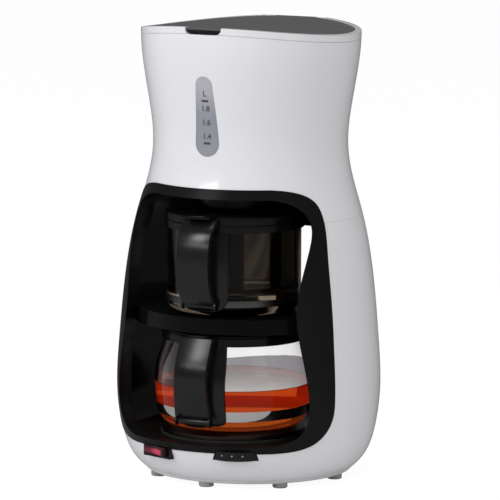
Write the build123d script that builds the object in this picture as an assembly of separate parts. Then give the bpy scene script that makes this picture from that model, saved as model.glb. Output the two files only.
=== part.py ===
from build123d import *
import os
from functools import cache
from math import cos, hypot, pi, radians, sin

# Two-carafe iced tea maker. Millimetres and degrees, +Z up, the front faces -Y.
# The origin is on the axis of the round body, at the level of the feet.

# ---------------------------------------------------------------- driving dimensions
# Round body: outer radii at the heights where its outline turns
BASE_R = 92.5
BELLY_R, BELLY_Z = 115.5, 78.0
SEAM_R, SEAM_Z = 98.4, 230.5
WAIST_R, WAIST_Z = 85.4, 288.0
RIM_R, RIM_Z = 95.6, 399.0
WALL = 2.6
LIP_WALL, LIP_DEPTH = 1.6, 5.0
# Arched rim: the whole top is cut by one large cylinder that leans back a little
ARCH_R = 610.0
ARCH_TILT = 1.08
RIM_LAND = 5.3
# Foot ring and base plate
FOOT_R, FOOT_H, FOOT_COUNT, FOOT_CIRCLE_R = 6.5, 4.5, 8, 83.5
BASE_PLATE_T, BASE_PLATE_INSET = 3.0, 1.0
VENT_W, VENT_L, VENT_COUNT, VENT_CIRCLE_R = 3.2, 24.0, 12, 30.0
SCREW_R, SCREW_HEAD_R, SCREW_HEAD_H = 1.7, 3.4, 1.8
SCREW_CIRCLE_R, SCREW_ANGLES = 80.0, (67.5, 112.5, 247.5, 292.5)
BOSS_R, BOSS_H = 4.5, 18.0
# Tunnel through the body, front to back, with its hourglass sides
TUNNEL_TOP, TUNNEL_FLOOR = 251.5, 40.5
TUNNEL_WAIST_X, TUNNEL_WAIST_Z = 81.6, 158.0
TUNNEL_UPPER_X, TUNNEL_UPPER_Z = 85.5, 209.0
TUNNEL_SIDE = 23.3
TUNNEL_LOWER_X, TUNNEL_LOWER_Z = BELLY_R - TUNNEL_SIDE, 78.0
TUNNEL_CORNER = 27.0
LINER_T = 2.5
LINER_LOW, LINER_HIGH = 46.0, 236.0
# Bezel round the front of the tunnel
BEZEL_TOP, BEZEL_BOTTOM = 260.0, 34.4
BEZEL_HALF_ANGLE = 66.0
BEZEL_CORNER = 25.0
BEZEL_PROUD, BEZEL_GAP, BEZEL_LIP, BEZEL_EASE = 0.8, 0.15, 12.0, 2.0
# Window in the back of the tunnel
REAR_TOP, REAR_FLOOR, REAR_MARGIN, REAR_CORNER = 206.5, 51.0, 10.0, 24.0
REAR_FRAME_T, REAR_LIP_T = 2.6, 2.0
# Axis shared by both carafes, the warming plate and the shower
CARAFE_Y = -31.0
# Shelf between the bays
SHELF_LOW, SHELF_TOP, SHELF_T = 136.0, 149.0, 2.5
SHELF_COVER_T, DRIP_R = 2.3, 14.0
# Warming plate and the cast heater under it
PLATE_TOP, PLATE_R, PLATE_T, PLATE_EDGE = 49.6, 62.0, 1.5, 4.0
GASKET_T, GASKET_W = 1.5, 6.0
HEATER_RING_R, HEATER_TUBE_R, HEATER_SPAN = 42.0, 4.3, 300.0
FLOOR_HOLE_R, BRACKET_T = 48.0, 1.0
STUB_R, STUB_BORE_R, STUB_END_Z = 2.35, 1.5, 24.0
THERMOSTAT_R, THERMOSTAT_H = 9.0, 7.0
FUSE_R, FUSE_L = 2.5, 20.0
# Water hoses
HOSE_R, HOSE_BORE_R, HOSE_Z = 3.4, 2.4, 17.0
HOSE_FOOT_X, HOSE_SIDE_X, HOSE_SEAM_X, HOSE_NECK_X = 88.0, 101.5, 91.9, 87.4
CLAMP_T, CLAMP_W = 1.1, 4.0
VALVE_X, VALVE_L, VALVE_R = 50.0, 22.0, 6.0
# Shower head over the upper carafe
HEAD_BOSS_R, HEAD_BOSS_Z = 31.0, 243.0
SHOWER_R, SHOWER_T, SHOWER_NECK_R = 26.0, 3.5, 7.9
SHOWER_HOLE_R, SHOWER_HOLES, SHOWER_HOLE_CIRCLE_R = 1.3, 10, 17.0
RISER_TOP_Z = 260.3
# Water tank in the waisted upper body
TANK_INSET, TANK_T, TANK_FLOOR, TANK_TOP = 4.4, 2.0, 266.0, 383.0
OUTLET_X, OUTLET_BOSS_R = 74.0, 6.0
FILTER_R, FILTER_H = 7.5, 4.0
# Level window: a tapered pill in the front of the upper body
WINDOW_TOP_R, WINDOW_TOP_Z = 7.9, 349.0
WINDOW_LOW_R, WINDOW_LOW_Z = 11.2, 298.5
WINDOW_RECESS = 0.3
# Tank lid and its hinge at the back of the rim
LID_GAP, LID_DROP, LID_T = 0.9, 0.4, 2.6
SKIRT_INSET, SKIRT_T, SKIRT_Z = 3.6, 2.2, 385.5
HINGE_Y, HINGE_Z, KNUCKLE_R, HINGE_PIN_R = 91.3, 391.4, 3.6, 1.5
LID_KNUCKLE_HALF, LUG_GAP, LUG_W, HINGE_CLEAR = 19.5, 0.4, 10.0, 0.6
NOTCH_W, NOTCH_H, NOTCH_CORNER, GRIP_GAP = 34.4, 6.2, 4.0, 0.7
GRIP_LIP_T, GRIP_H = 1.8, 2.8
# Rocker switch, left of the front below the bezel
SWITCH_ANGLE, SWITCH_Z, SWITCH_FACE_R = -20.1, 31.6, 110.6
SWITCH_W, SWITCH_H, SWITCH_DEPTH, SWITCH_RIM = 33.0, 12.4, 15.0, 1.9
ROCKER_GAP, ROCKER_THROW, ROCKER_PIVOT_R = 0.55, 7.0, 1.2
ROCKER_END_H, ROCKER_MID_H, ROCKER_PIVOT_DEPTH, ROCKER_SKIRT = 3.0, 1.2, 4.0, 2.2
SWITCH_POCKET = 10.5
# Strength selector, a thumbwheel right of the front below the bezel
DIAL_ANGLE, DIAL_AXIS_R, DIAL_R, DIAL_LOW, DIAL_TOP = 20.0, 91.8, 24.0, 28.8, 36.6
DIAL_GAP, DIAL_RIB_R, DIAL_RIBS = 0.5, 0.45, 60
DIAL_SHAFT_R, DIAL_BODY_R, DIAL_BODY_LOW = 3.0, 7.0, 21.0
BOARD_T, BOARD_W, BOARD_L, BOARD_X, BOARD_Y = 1.6, 32.0, 36.0, 24.0, -74.0
BOARD_POSTS, POST_R = ((-13.0, 14.0), (13.0, 14.0), (-13.0, -9.0), (3.0, -9.0)), 2.5
RELAY_W, RELAY_L, CAPACITOR_R, BOARD_PART_H = 16.0, 12.0, 4.0, 6.8
# Bush in the lower back wall for a mains lead
GLAND_R, GLAND_BORE_R, GLAND_FLANGE_R, GLAND_Z = 5.0, 3.0, 7.0, 25.2
# Upper, steeping carafe
UPPER_R, UPPER_GLASS_T, UPPER_TOP, UPPER_CORNER = 58.3, 2.0, 226.0, 9.0
GLASS_LIFT, GLASS_FLOOR_T = 0.3, 2.5
PUNT_R, PUNT_H = 24.0, 5.6
UPPER_BAND_LOW, UPPER_BAND_HIGH = 157.6, 163.4
# Infuser basket
INFUSER_R, INFUSER_LOW, INFUSER_RIBS, INFUSER_RIB_ANGLE, INFUSER_TURN = 45.0, 170.0, 8, 14.0, 29.0
INFUSER_RIB_T, MESH_T, INFUSER_RING_T = 2.0, 0.8, 2.2
# Drain valve in the floor of the upper carafe
DRAIN_HOLE_R, DRAIN_FLANGE_R, DRAIN_FLANGE_T, DRAIN_SEAL_T = 11.0, 16.0, 2.4, 1.0
DRAIN_BORE_R, DRAIN_BRIDGE_T, DRAIN_NUT_R, DRAIN_NUT_T = 7.5, 2.0, 14.0, 3.4
PLUNGER_R, PLUNGER_T, STEM_R, CLIP_R, CLIP_T = 9.0, 2.0, 2.0, 4.2, 1.0
DRAIN_LIFT, LIFTER_TRAVEL, LIFTER_GAP = 3.0, 5.3, 0.3
SPRING_R, SPRING_WIRE_R, SPRING_TURNS = 3.2, 0.3, 3.0
# Lifter and solenoid inside the shelf
LIFTER_TOP, LIFTER_PIN_R, LIFTER_ARM_W, LIFTER_ARM_T = 148.6, 2.5, 7.0, 1.5
GUIDE_X, GUIDE_R, GUIDE_RING_R = -44.0, 2.5, 5.5
SOLENOID_L, SOLENOID_W, SOLENOID_H = 22.0, 20.0, 7.6
# Lower, serving carafe
LOWER_NECK_R, LOWER_TOP = 60.3, 131.0
LOWER_BELLY_R, LOWER_BELLY_Z = 69.0, 88.0
LOWER_HEEL_R, LOWER_HEEL_Z = 66.0, 62.0
LOWER_FOOT_R, LOWER_GLASS_T = 56.0, 2.2
LOWER_BAND_LOW, LOWER_BAND_HIGH, BAND_T = 60.8, 69.8, 0.8
# Collars on the rims of both carafes, and how far each lid stands over its collar
COLLAR_T, UPPER_COLLAR_RISE, LOWER_COLLAR_RISE = 2.6, 2.6, 0.6
UPPER_COLLAR_SKIRT, LOWER_COLLAR_SKIRT = 4.0, 7.0
UPPER_LID_H, LOWER_LID_H = 8.0, 2.8
UPPER_COLLAR_LOW, UPPER_COLLAR_HIGH = UPPER_TOP - UPPER_COLLAR_SKIRT, UPPER_TOP + UPPER_COLLAR_RISE
LOWER_COLLAR_LOW, LOWER_COLLAR_HIGH = LOWER_TOP - LOWER_COLLAR_SKIRT, LOWER_TOP + LOWER_COLLAR_RISE
# Handles and lids, alike on both carafes
HANDLE_W, HANDLE_T, HANDLE_BASE_ANGLE, HANDLE_BASE_T = 30.0, 5.0, 21.0, 2.6
UPPER_GRIP_R, UPPER_HANDLE_TOP, UPPER_HANDLE_LOW = 82.0, UPPER_COLLAR_HIGH + 6.4, 154.0
LOWER_GRIP_R, LOWER_HANDLE_TOP, LOWER_HANDLE_LOW = 85.4, LOWER_COLLAR_HIGH + 0.8, 54.5
HANDLE_SCREW_R, HANDLE_SCREW_HEAD_R, HANDLE_SCREW_HEAD_H = 1.8, 4.0, 1.8
LID_PLUG_T, LID_PLUG_H, LID_HOLE_R, LID_CLEAR, LID_EDGE = 2.4, 2.4, 9.0, 0.3, 2.0
TAB_W, TAB_R, UPPER_TAB_T, LOWER_TAB_T, TAB_LAP = 22.0, 75.0, 2.8, 1.8, 6.0
# Small gaps between pieces that only touch or slide
SEAT_GAP, RUNNING_GAP = 0.1, 0.06
# Level stretch where a curved outline meets a level edge, and how far it has dipped by then
LEVEL_RUN, LEVEL_DIP = 9.0, 0.5
# Size of the blanks that the prisms and slabs are cut from, and how far a cut runs past a surface
BLANK, CUT_PAST = 320.0, 5.0
ABOVE_RIM = RIM_Z + CUT_PAST


# ---------------------------------------------------------------- shared shapes
def along(start, end, share_r, share_z):
    """A point between two outline points, by its share of each coordinate."""
    return start[0] + share_r * (end[0] - start[0]), start[1] + share_z * (end[1] - start[1])


def body_points():
    base, belly = (BASE_R, FOOT_H + BASE_PLATE_T), (BELLY_R, BELLY_Z)
    seam, waist, rim = (SEAM_R, SEAM_Z), (WAIST_R, WAIST_Z), (RIM_R, RIM_Z + 2.0)
    return [
        base, along(base, belly, 0.53, 0.2), along(base, belly, 0.84, 0.52),
        belly, along(belly, seam, 0.1, 0.26), along(belly, seam, 0.37, 0.6),
        seam, along(seam, waist, 0.62, 0.5),
        waist, along(waist, rim, 0.25, 0.32), rim,
    ]


@cache
def body(inset):
    """Solid of revolution inside the outer surface, which is moved inwards by inset."""
    points = [(r - inset, z) for r, z in body_points()]
    (low_r, low_z), (high_r, high_z) = points[0], points[-1]
    side = Spline(*[(r, 0, z) for r, z in points])
    axis_and_ends = Polyline((high_r, 0, high_z), (0, 0, high_z), (0, 0, low_z), (low_r, 0, low_z))
    return revolve(make_face([side, *axis_and_ends.edges()]), Axis.Z)


@cache
def body_samples():
    side = Spline(*body_points())
    return [side @ (i / 400) for i in range(401)]


def radius_at(z):
    """Outer radius of the body at a height."""
    for below, above in zip(body_samples(), body_samples()[1:]):
        if below.Y <= z <= above.Y:
            return below.X + (above.X - below.X) * (z - below.Y) / (above.Y - below.Y)
    return body_samples()[0].X


def slab(low, high):
    return Pos(0, 0, (low + high) / 2) * Box(BLANK, BLANK, high - low)


def disc(radius, low, high, x=0.0, y=0.0):
    return Pos(x, y, (low + high) / 2) * Cylinder(radius, high - low)


def ring(outer, inner, low, high, x=0.0, y=0.0):
    return disc(outer, low, high, x, y) - disc(inner, low, high, x, y)


def block(x0, x1, y0, y1, z0, z1):
    return Pos((x0 + x1) / 2, (y0 + y1) / 2, (z0 + z1) / 2) * Box(x1 - x0, y1 - y0, z1 - z0)


def turned(points, x=0.0, y=0.0):
    """Revolve a closed outline of (radius, height) points about a vertical axis."""
    outline = Polyline(*[(r, 0, z) for r, z in points], close=True)
    return Pos(x, y, 0) * revolve(make_face(outline), Axis.Z)


def wedge(half_angle, reach, low, high, y=0.0):
    """Block that spans an angle each side of the front, seen from above."""
    x = reach * sin(radians(half_angle))
    face = make_face(Polyline((0, 0), (x, -reach * cos(radians(half_angle))), (x, -reach * 1.5),
                              (-x, -reach * 1.5), (-x, -reach * cos(radians(half_angle))), close=True))
    return Pos(0, y, low) * extrude(face, amount=high - low)


def arch(drop):
    """Everything below the arched surface of the rim, lowered by drop."""
    middle = RIM_Z - RIM_R * sin(radians(ARCH_TILT))
    return Pos(0, 0, middle - drop - ARCH_R) * Rot(90 - ARCH_TILT, 0, 0) * Cylinder(ARCH_R, BLANK)


def grown(points, amount):
    """Outline points moved outwards along their normals; the first and last move straight up and down."""
    moved = []
    for i, (x, z) in enumerate(points):
        before, after = points[max(i - 1, 0)], points[min(i + 1, len(points) - 1)]
        dx, dz = after[0] - before[0], after[1] - before[1]
        if i in (0, len(points) - 1):
            dx, dz = (1, 0) if i == 0 else (-1, 0)
        length = hypot(dx, dz)
        moved.append((x - amount * dz / length, z + amount * dx / length))
    return moved


def flat_ended(points):
    """The same outline with a short level stretch at each end, so that it meets a level line smoothly."""
    (top_x, top_z), (low_x, low_z) = points[0], points[-1]
    first, last = (top_x, top_z - LEVEL_DIP), (low_x, low_z + LEVEL_DIP)
    return [(top_x - LEVEL_RUN, top_z), first, *points[1:-1], last, (low_x - LEVEL_RUN, low_z)]


def outline_face(points):
    """Face in X and Z from its right edge, given top to bottom, and the mirror image."""
    points = flat_ended(points)
    (top_x, top_z), (low_x, low_z) = points[0], points[-1]
    right = Spline(*[(x, 0, z) for x, z in points])
    left = Spline(*[(-x, 0, z) for x, z in points])
    top = Line((-top_x, 0, top_z), (top_x, 0, top_z))
    bottom = Line((-low_x, 0, low_z), (low_x, 0, low_z))
    return make_face([right, bottom, left, top])


def forward(face):
    return extrude(face, amount=BLANK / 2, dir=(0, -1, 0))


def backward(face):
    return extrude(face, amount=BLANK / 2, dir=(0, 1, 0))


def tunnel_points():
    corner = TUNNEL_CORNER
    return [
        (TUNNEL_UPPER_X - corner, TUNNEL_TOP),
        (TUNNEL_UPPER_X - 0.37 * corner, TUNNEL_TOP - 0.31 * corner),
        (TUNNEL_UPPER_X - 0.07 * corner, TUNNEL_TOP - 0.78 * corner),
        (TUNNEL_UPPER_X, TUNNEL_UPPER_Z),
        (TUNNEL_WAIST_X, TUNNEL_WAIST_Z),
        (TUNNEL_LOWER_X - 0.16 * (TUNNEL_LOWER_X - TUNNEL_WAIST_X), TUNNEL_LOWER_Z + 0.7 * corner),
        (TUNNEL_LOWER_X, TUNNEL_LOWER_Z),
        (TUNNEL_LOWER_X - 0.26 * corner, TUNNEL_FLOOR + 0.33 * corner),
        (TUNNEL_LOWER_X - 0.9 * corner, TUNNEL_FLOOR),
    ]


def bezel_points():
    corner, side = BEZEL_CORNER, sin(radians(BEZEL_HALF_ANGLE))
    heights = (
        BEZEL_TOP - 0.96 * corner, SEAM_Z - corner, TUNNEL_WAIST_Z, 2 * BELLY_Z - TUNNEL_FLOOR, BELLY_Z,
    )
    low = BEZEL_BOTTOM + 0.8 * corner
    return [
        (radius_at(BEZEL_TOP) * side - corner + BEZEL_EASE, BEZEL_TOP),
        (radius_at(BEZEL_TOP) * side - 0.12 * corner, BEZEL_TOP - 0.32 * corner),
        *[(radius_at(z) * side - BEZEL_GAP, z) for z in heights],
        (radius_at(low) * side - 0.08 * corner, low),
        (radius_at(low) * side - 0.48 * corner, BEZEL_BOTTOM + 0.23 * corner),
        (radius_at(low) * side - 1.2 * corner, BEZEL_BOTTOM),
    ]


def rear_points():
    corner = REAR_CORNER
    low, high = REAR_FLOOR + 0.6 * corner, REAR_TOP - 0.6 * corner
    inside = [(x, z) for x, z in grown(tunnel_points(), -REAR_MARGIN) if low < z < high]
    (widest, _), (lowest, _) = inside[0], inside[-1]
    return [
        (0.35 * widest, REAR_TOP), (0.85 * widest, REAR_TOP - 0.3 * corner),
        (0.99 * widest, REAR_TOP - corner), *inside,
        (lowest - 0.3 * corner, REAR_FLOOR + 0.2 * corner), (lowest - corner, REAR_FLOOR),
    ]


@cache
def tunnel(grow=0.0):
    face = outline_face(grown(tunnel_points(), grow))
    return forward(face) + backward(face)


@cache
def bezel_prism(grow=0.0):
    return forward(outline_face(grown(bezel_points(), grow)))


@cache
def rear_prism(grow=0.0):
    return backward(outline_face(grown(rear_points(), grow)))


@cache
def tunnel_tube():
    """Wall of the tunnel, from behind the bezel's lip to the frame of the rear window."""
    wall = tunnel(LINER_T) - tunnel()
    front = wall & body(BEZEL_LIP) & block(-BLANK / 2, BLANK / 2, -BLANK / 2, 0, 0, BLANK * 2)
    rear = wall & body(WALL + REAR_FRAME_T) & block(-BLANK / 2, BLANK / 2, 0, BLANK / 2, 0, BLANK * 2)
    return front + rear


def on_circle(radius, angle):
    """Position at an angle from the front, turning towards +X."""
    return radius * sin(radians(angle)), -radius * cos(radians(angle))


def hose(points, radii):
    """Round rubber tube along straight runs joined by arcs."""
    path = FilletPolyline(*points, radius=radii)
    start = Plane(origin=path @ 0, z_dir=path % 0)
    outer = sweep(start * Circle(HOSE_R), path=path)
    return outer - sweep(start * Circle(HOSE_BORE_R), path=path)


# ---------------------------------------------------------------- body and base
def lower_housing():
    shell = (body(0.0) - body(WALL)) & slab(FOOT_H + BASE_PLATE_T, SEAM_Z)
    shell = shell - bezel_prism(BEZEL_GAP) - rear_prism(REAR_LIP_T) - switch_opening() - dial_opening()
    low = FOOT_H + BASE_PLATE_T
    for angle in SCREW_ANGLES:
        x, y = on_circle(SCREW_CIRCLE_R, angle)
        rib = Pos(0, 0, low + BOSS_H / 2) * Rot(0, 0, angle) * Pos(0, -SCREW_CIRCLE_R - 15, 0) * Box(
            WALL, 30, BOSS_H)
        shell = shell + disc(BOSS_R, low, low + BOSS_H, x, y) + (rib & body(WALL / 2))
        shell = shell - disc(SCREW_R, low, low + BOSS_H - WALL, x, y)
    return shell - gland_opening()


def upper_housing():
    low, band_low = SEAM_Z, TANK_TOP + 1.0
    shell = (body(0.0) - body(WALL)) & slab(low, ABOVE_RIM) & arch(0.0)
    rim_band = body(WALL / 2) - disc(RIM_R - RIM_LAND, band_low, ABOVE_RIM)
    band = rim_band & slab(band_low, ABOVE_RIM) & arch(0.0)
    lip = (body(WALL + RUNNING_GAP) - body(WALL + LIP_WALL)) & slab(low - LIP_DEPTH, low)
    keeper = (body(WALL / 2) - body(WALL + LIP_WALL)) & slab(low, low + LIP_DEPTH)
    lip = (lip + keeper) - bezel_prism(BEZEL_GAP) - tunnel(LINER_T + RUNNING_GAP)
    shell = shell + band + lip - bezel_prism(BEZEL_GAP) - forward(window_face(SEAT_GAP))
    shell = shell - finger_notch(0.0)
    return cut_hinge_gap(shell) + hinge_lugs()


def finger_notch(gap):
    """Cut in the front of the rim with round lower corners, above which the lid's grip lies."""
    face = make_face(RectangleRounded(NOTCH_W - 2 * gap, 2 * (NOTCH_H - gap), NOTCH_CORNER - gap).edges())
    return Plane.XZ * Pos(0, RIM_Z, RIM_R - 2 * RIM_LAND) * extrude(face, amount=BLANK / 4)


def hinge_half_width():
    return LID_KNUCKLE_HALF + LUG_GAP + LUG_W


def cut_hinge_gap(shell):
    half, low = hinge_half_width() + LUG_GAP, HINGE_Z - KNUCKLE_R - HINGE_CLEAR
    return shell - block(-half, half, HINGE_Y - 2 * KNUCKLE_R, RIM_R + CUT_PAST, low, ABOVE_RIM)


def cross_bar(radius, x0, x1, y, z):
    return Pos((x0 + x1) / 2, y, z) * Rot(0, 90, 0) * Cylinder(radius, x1 - x0)


def hinge_lugs():
    lugs = []
    for side in (-1, 1):
        near, far = sorted((side * (LID_KNUCKLE_HALF + LUG_GAP), side * hinge_half_width()))
        web = block(near, far, HINGE_Y - KNUCKLE_R, HINGE_Y + KNUCKLE_R * 0.4, TANK_TOP + 2.0, HINGE_Z)
        lug = cross_bar(KNUCKLE_R, near, far, HINGE_Y, HINGE_Z) + web
        lugs.append(lug - cross_bar(HINGE_PIN_R + RUNNING_GAP / 2, near, far, HINGE_Y, HINGE_Z))
    return lugs[0] + lugs[1]


def lid_hinge_pin():
    return cross_bar(HINGE_PIN_R, -hinge_half_width(), hinge_half_width(), HINGE_Y, HINGE_Z)


def front_bezel():
    plate = (body(-BEZEL_PROUD) - body(WALL)) & bezel_prism()
    throat = forward(outline_face(grown(tunnel_points(), LINER_T)))
    lip = (body(WALL) - body(BEZEL_LIP)) & tunnel(LINER_T) & throat
    return (plate + lip) - tunnel() - switch_opening() - dial_opening()


def rear_frame():
    back = block(-BLANK / 2, BLANK / 2, 0, BLANK / 2, 0, BLANK * 2)
    plate = (body(WALL) - body(WALL + REAR_FRAME_T)) & tunnel(LINER_T) & back
    lip = (body(0.0) - body(WALL)) & rear_prism(REAR_LIP_T)
    return (plate + lip) - rear_prism()


def liner(side):
    half = block(*sorted((0, side * BLANK)), -BLANK / 2, BLANK / 2, LINER_LOW, LINER_HIGH)
    return tunnel_tube() & half


def cavity_floor():
    return (tunnel_tube() & slab(0, LINER_LOW)) - disc(FLOOR_HOLE_R, 0, LINER_LOW, 0, CARAFE_Y)


def brew_head():
    roof = tunnel_tube() & slab(LINER_HIGH, TUNNEL_TOP + BLANK / 4)
    boss = disc(HEAD_BOSS_R, HEAD_BOSS_Z, TUNNEL_TOP + LINER_T / 2, 0, CARAFE_Y)
    neck = disc(SHOWER_NECK_R + RUNNING_GAP, 0, BLANK, 0, CARAFE_Y)
    return roof + boss - neck


def shower_head():
    low = HEAD_BOSS_Z - SHOWER_T
    head = disc(SHOWER_R, low, HEAD_BOSS_Z, 0, CARAFE_Y)
    head = head + disc(SHOWER_NECK_R, low, RISER_TOP_Z + SHOWER_NECK_R / 2, 0, CARAFE_Y)
    for i in range(SHOWER_HOLES):
        x, y = on_circle(SHOWER_HOLE_CIRCLE_R, 360 * i / SHOWER_HOLES)
        head = head - disc(SHOWER_HOLE_R, low, HEAD_BOSS_Z, x, y + CARAFE_Y)
    reach = elbow_reach()
    inlet = elbow_frame() * Pos(0, 0, reach / 2) * Cylinder(HOSE_BORE_R - RUNNING_GAP, reach)
    return head + inlet


def elbow_reach():
    return SHOWER_NECK_R + 10.0


def riser_end():
    """Start of the hose's last run, over the left pillar."""
    return -OUTLET_X - 2.0, heater_end(1)[1], RISER_TOP_Z


def elbow_frame():
    x, y, z = riser_end()
    return Plane(origin=(0, CARAFE_Y, z), z_dir=(x, y - CARAFE_Y, 0))


def base_plate():
    low, top = FOOT_H, FOOT_H + BASE_PLATE_T
    edge, round_r = BASE_R - BASE_PLATE_INSET, BASE_PLATE_T * 0.6
    plate = turned([(0, low), (edge - round_r, low), (edge, low + round_r), (edge, top), (0, top)])
    vent = Pos(0, -VENT_CIRCLE_R - VENT_L / 2, (low + top) / 2) * Box(VENT_W, VENT_L, BASE_PLATE_T)
    for i in range(VENT_COUNT):
        plate = plate - Rot(0, 0, 360 * (i + 0.5) / VENT_COUNT) * vent
    for angle in SCREW_ANGLES:
        x, y = on_circle(SCREW_CIRCLE_R, angle)
        plate = plate - disc(SCREW_R + SEAT_GAP, low, top, x, y)
        plate = plate - disc(SCREW_HEAD_R + SEAT_GAP, low, low + SCREW_HEAD_H, x, y)
    for x, y in board_posts():
        plate = plate + disc(POST_R, top, DIAL_BODY_LOW - BOARD_T, x, y)
    return plate


def feet():
    places = [on_circle(FOOT_CIRCLE_R, 360 * i / FOOT_COUNT) for i in range(FOOT_COUNT)]
    return [disc(FOOT_R, 0, FOOT_H, x, y) for x, y in places]


def base_screws():
    screws = []
    for angle in SCREW_ANGLES:
        x, y = on_circle(SCREW_CIRCLE_R, angle)
        head = disc(SCREW_HEAD_R, FOOT_H, FOOT_H + SCREW_HEAD_H, x, y)
        screws.append(head + disc(SCREW_R - RUNNING_GAP, FOOT_H, FOOT_H + BOSS_H - 2 * WALL, x, y))
    return screws


def gland_frame():
    return Plane(origin=(0, radius_at(GLAND_Z) - WALL, GLAND_Z), z_dir=(0, 1, 0))


def gland_opening():
    return gland_frame() * Cylinder(GLAND_R, 6 * WALL)


def cord_gland():
    """Rubber bush in the lower back wall, where a mains lead would enter."""
    bush = Cylinder(GLAND_R - RUNNING_GAP, 4 * WALL) + Pos(0, 0, -2 * WALL) * Cylinder(GLAND_FLANGE_R, WALL)
    return gland_frame() * (bush - Cylinder(GLAND_BORE_R, 6 * WALL))


# ---------------------------------------------------------------- water path
def heater_end(side):
    gap = radians((360 - HEATER_SPAN) / 2)
    return side * HEATER_RING_R * sin(gap), CARAFE_Y + HEATER_RING_R * cos(gap)


def heater_z():
    return PLATE_TOP - PLATE_T - HEATER_TUBE_R - RUNNING_GAP


def heater_tube():
    """Open ring cast under the plate, with a water stub turned down at each end."""
    start = (360 - HEATER_SPAN) / 2 + 90
    ring_path = CenterArc((0, CARAFE_Y, heater_z()), HEATER_RING_R, start, HEATER_SPAN)
    section = Plane(origin=ring_path @ 0, z_dir=ring_path % 0) * Circle(HEATER_TUBE_R)
    heater = sweep(section, path=ring_path)
    for side in (-1, 1):
        x, y = heater_end(side)
        heater = heater + Pos(x, y, heater_z()) * Sphere(HEATER_TUBE_R)
        heater = heater + disc(STUB_R, STUB_END_Z, heater_z(), x, y)
        heater = heater - disc(STUB_BORE_R, STUB_END_Z, heater_z() - HEATER_TUBE_R, x, y)
    return heater


def floor_underside():
    return TUNNEL_FLOOR - LINER_T


def heater_bracket():
    low, top = floor_underside() - BRACKET_T, floor_underside()
    sheet = ring(FLOOR_HOLE_R + 2.5, HEATER_RING_R - 12.0, low, top, 0, CARAFE_Y)
    saddle = ring(HEATER_RING_R + 2.5, HEATER_RING_R - 2.5, low, heater_z() - HEATER_TUBE_R - RUNNING_GAP,
                  0, CARAFE_Y)
    bracket = sheet + saddle
    for side in (-1, 1):
        bracket = bracket - disc(HEATER_TUBE_R + 1.0, low, heater_z(), *heater_end(side))
    return bracket


def warming_plate():
    low, under, edge = TUNNEL_FLOOR + GASKET_T, PLATE_TOP - PLATE_T, PLATE_R - PLATE_EDGE
    return turned([
        (0, PLATE_TOP), (edge, PLATE_TOP), (PLATE_R, PLATE_TOP - PLATE_EDGE), (PLATE_R, low),
        (PLATE_R - PLATE_T, low), (PLATE_R - PLATE_T, under - PLATE_EDGE + PLATE_T),
        (edge - PLATE_T / 2, under), (0, under),
    ], 0, CARAFE_Y)


def plate_gasket():
    outer = PLATE_R + GASKET_T
    return ring(outer, outer - GASKET_W, TUNNEL_FLOOR, TUNNEL_FLOOR + GASKET_T, 0, CARAFE_Y)


def thermostat():
    top = floor_underside() - BRACKET_T
    x = -HEATER_RING_R
    cap = disc(THERMOSTAT_R, top - THERMOSTAT_H / 2, top, x, CARAFE_Y)
    return cap + disc(THERMOSTAT_R * 0.75, top - THERMOSTAT_H, top, x, CARAFE_Y)


def thermal_fuse():
    z = floor_underside() - BRACKET_T - FUSE_R - SEAT_GAP
    return Pos(HEATER_RING_R, CARAFE_Y, z) * Rot(90, 0, 0) * Cylinder(FUSE_R, FUSE_L)


def pillar_route(side, y):
    """Hose points up one side pillar, between the tunnel wall and the outer wall."""
    return [
        (side * HOSE_FOOT_X, y, HOSE_Z), (side * HOSE_SIDE_X, y, LINER_LOW + 9.0),
        (side * HOSE_SIDE_X, y, TUNNEL_WAIST_Z - 8.0), (side * HOSE_SEAM_X, y, SEAM_Z - 8.5),
        (side * HOSE_NECK_X, y, SEAM_Z + 12.5),
    ]


def supply_tubes():
    """Rubber hose from the tank to the check valve, and on to the heater."""
    x, y = heater_end(1)
    short = hose([(x, y, STUB_END_Z + 6), (x, y, HOSE_Z), (VALVE_X + 4, y, HOSE_Z)], 5.0)
    upper = [(OUTLET_X, y, RISER_TOP_Z - 5.0), (OUTLET_X, y, TANK_FLOOR - 3.0)]
    points = [(VALVE_X + VALVE_L - 4, y, HOSE_Z), *pillar_route(1, y), *upper]
    return [short, hose(points, [10.0, 18.0, 40.0, 40.0, 10.0, 4.6])]


def riser_tube():
    """Rubber hose that carries the hot water up to the shower head."""
    x, y = heater_end(-1)
    end = elbow_frame().from_local_coords((0, 0, SHOWER_NECK_R + 1.0))
    points = [(x, y, STUB_END_Z + 6), (x, y, HOSE_Z), *pillar_route(-1, y), riser_end(), tuple(end)]
    return hose(points, [5.0, 18.0, 18.0, 40.0, 40.0, 9.0, 7.0])


def check_valve():
    x, y = heater_end(1)
    barrel = cross_bar(VALVE_R, VALVE_X + 5, VALVE_X + VALVE_L - 5, y, HOSE_Z)
    return barrel + cross_bar(HOSE_BORE_R - RUNNING_GAP, VALVE_X, VALVE_X + VALVE_L, y, HOSE_Z)


def hose_clamps():
    """Spring bands on the hose ends at the heater, the check valve and the tank."""
    band = Cylinder(HOSE_R + SEAT_GAP + CLAMP_T, CLAMP_W) - Cylinder(HOSE_R + SEAT_GAP / 2, CLAMP_W)
    y = heater_end(1)[1]
    places = [Pos(*heater_end(side), STUB_END_Z + 3.0) for side in (-1, 1)]
    places += [Pos(x, y, HOSE_Z) * Rot(0, 90, 0) for x in (VALVE_X + 2, VALVE_X + VALVE_L - 2)]
    places.append(Pos(OUTLET_X, y, RISER_TOP_Z))
    return [place * band for place in places]


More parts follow.
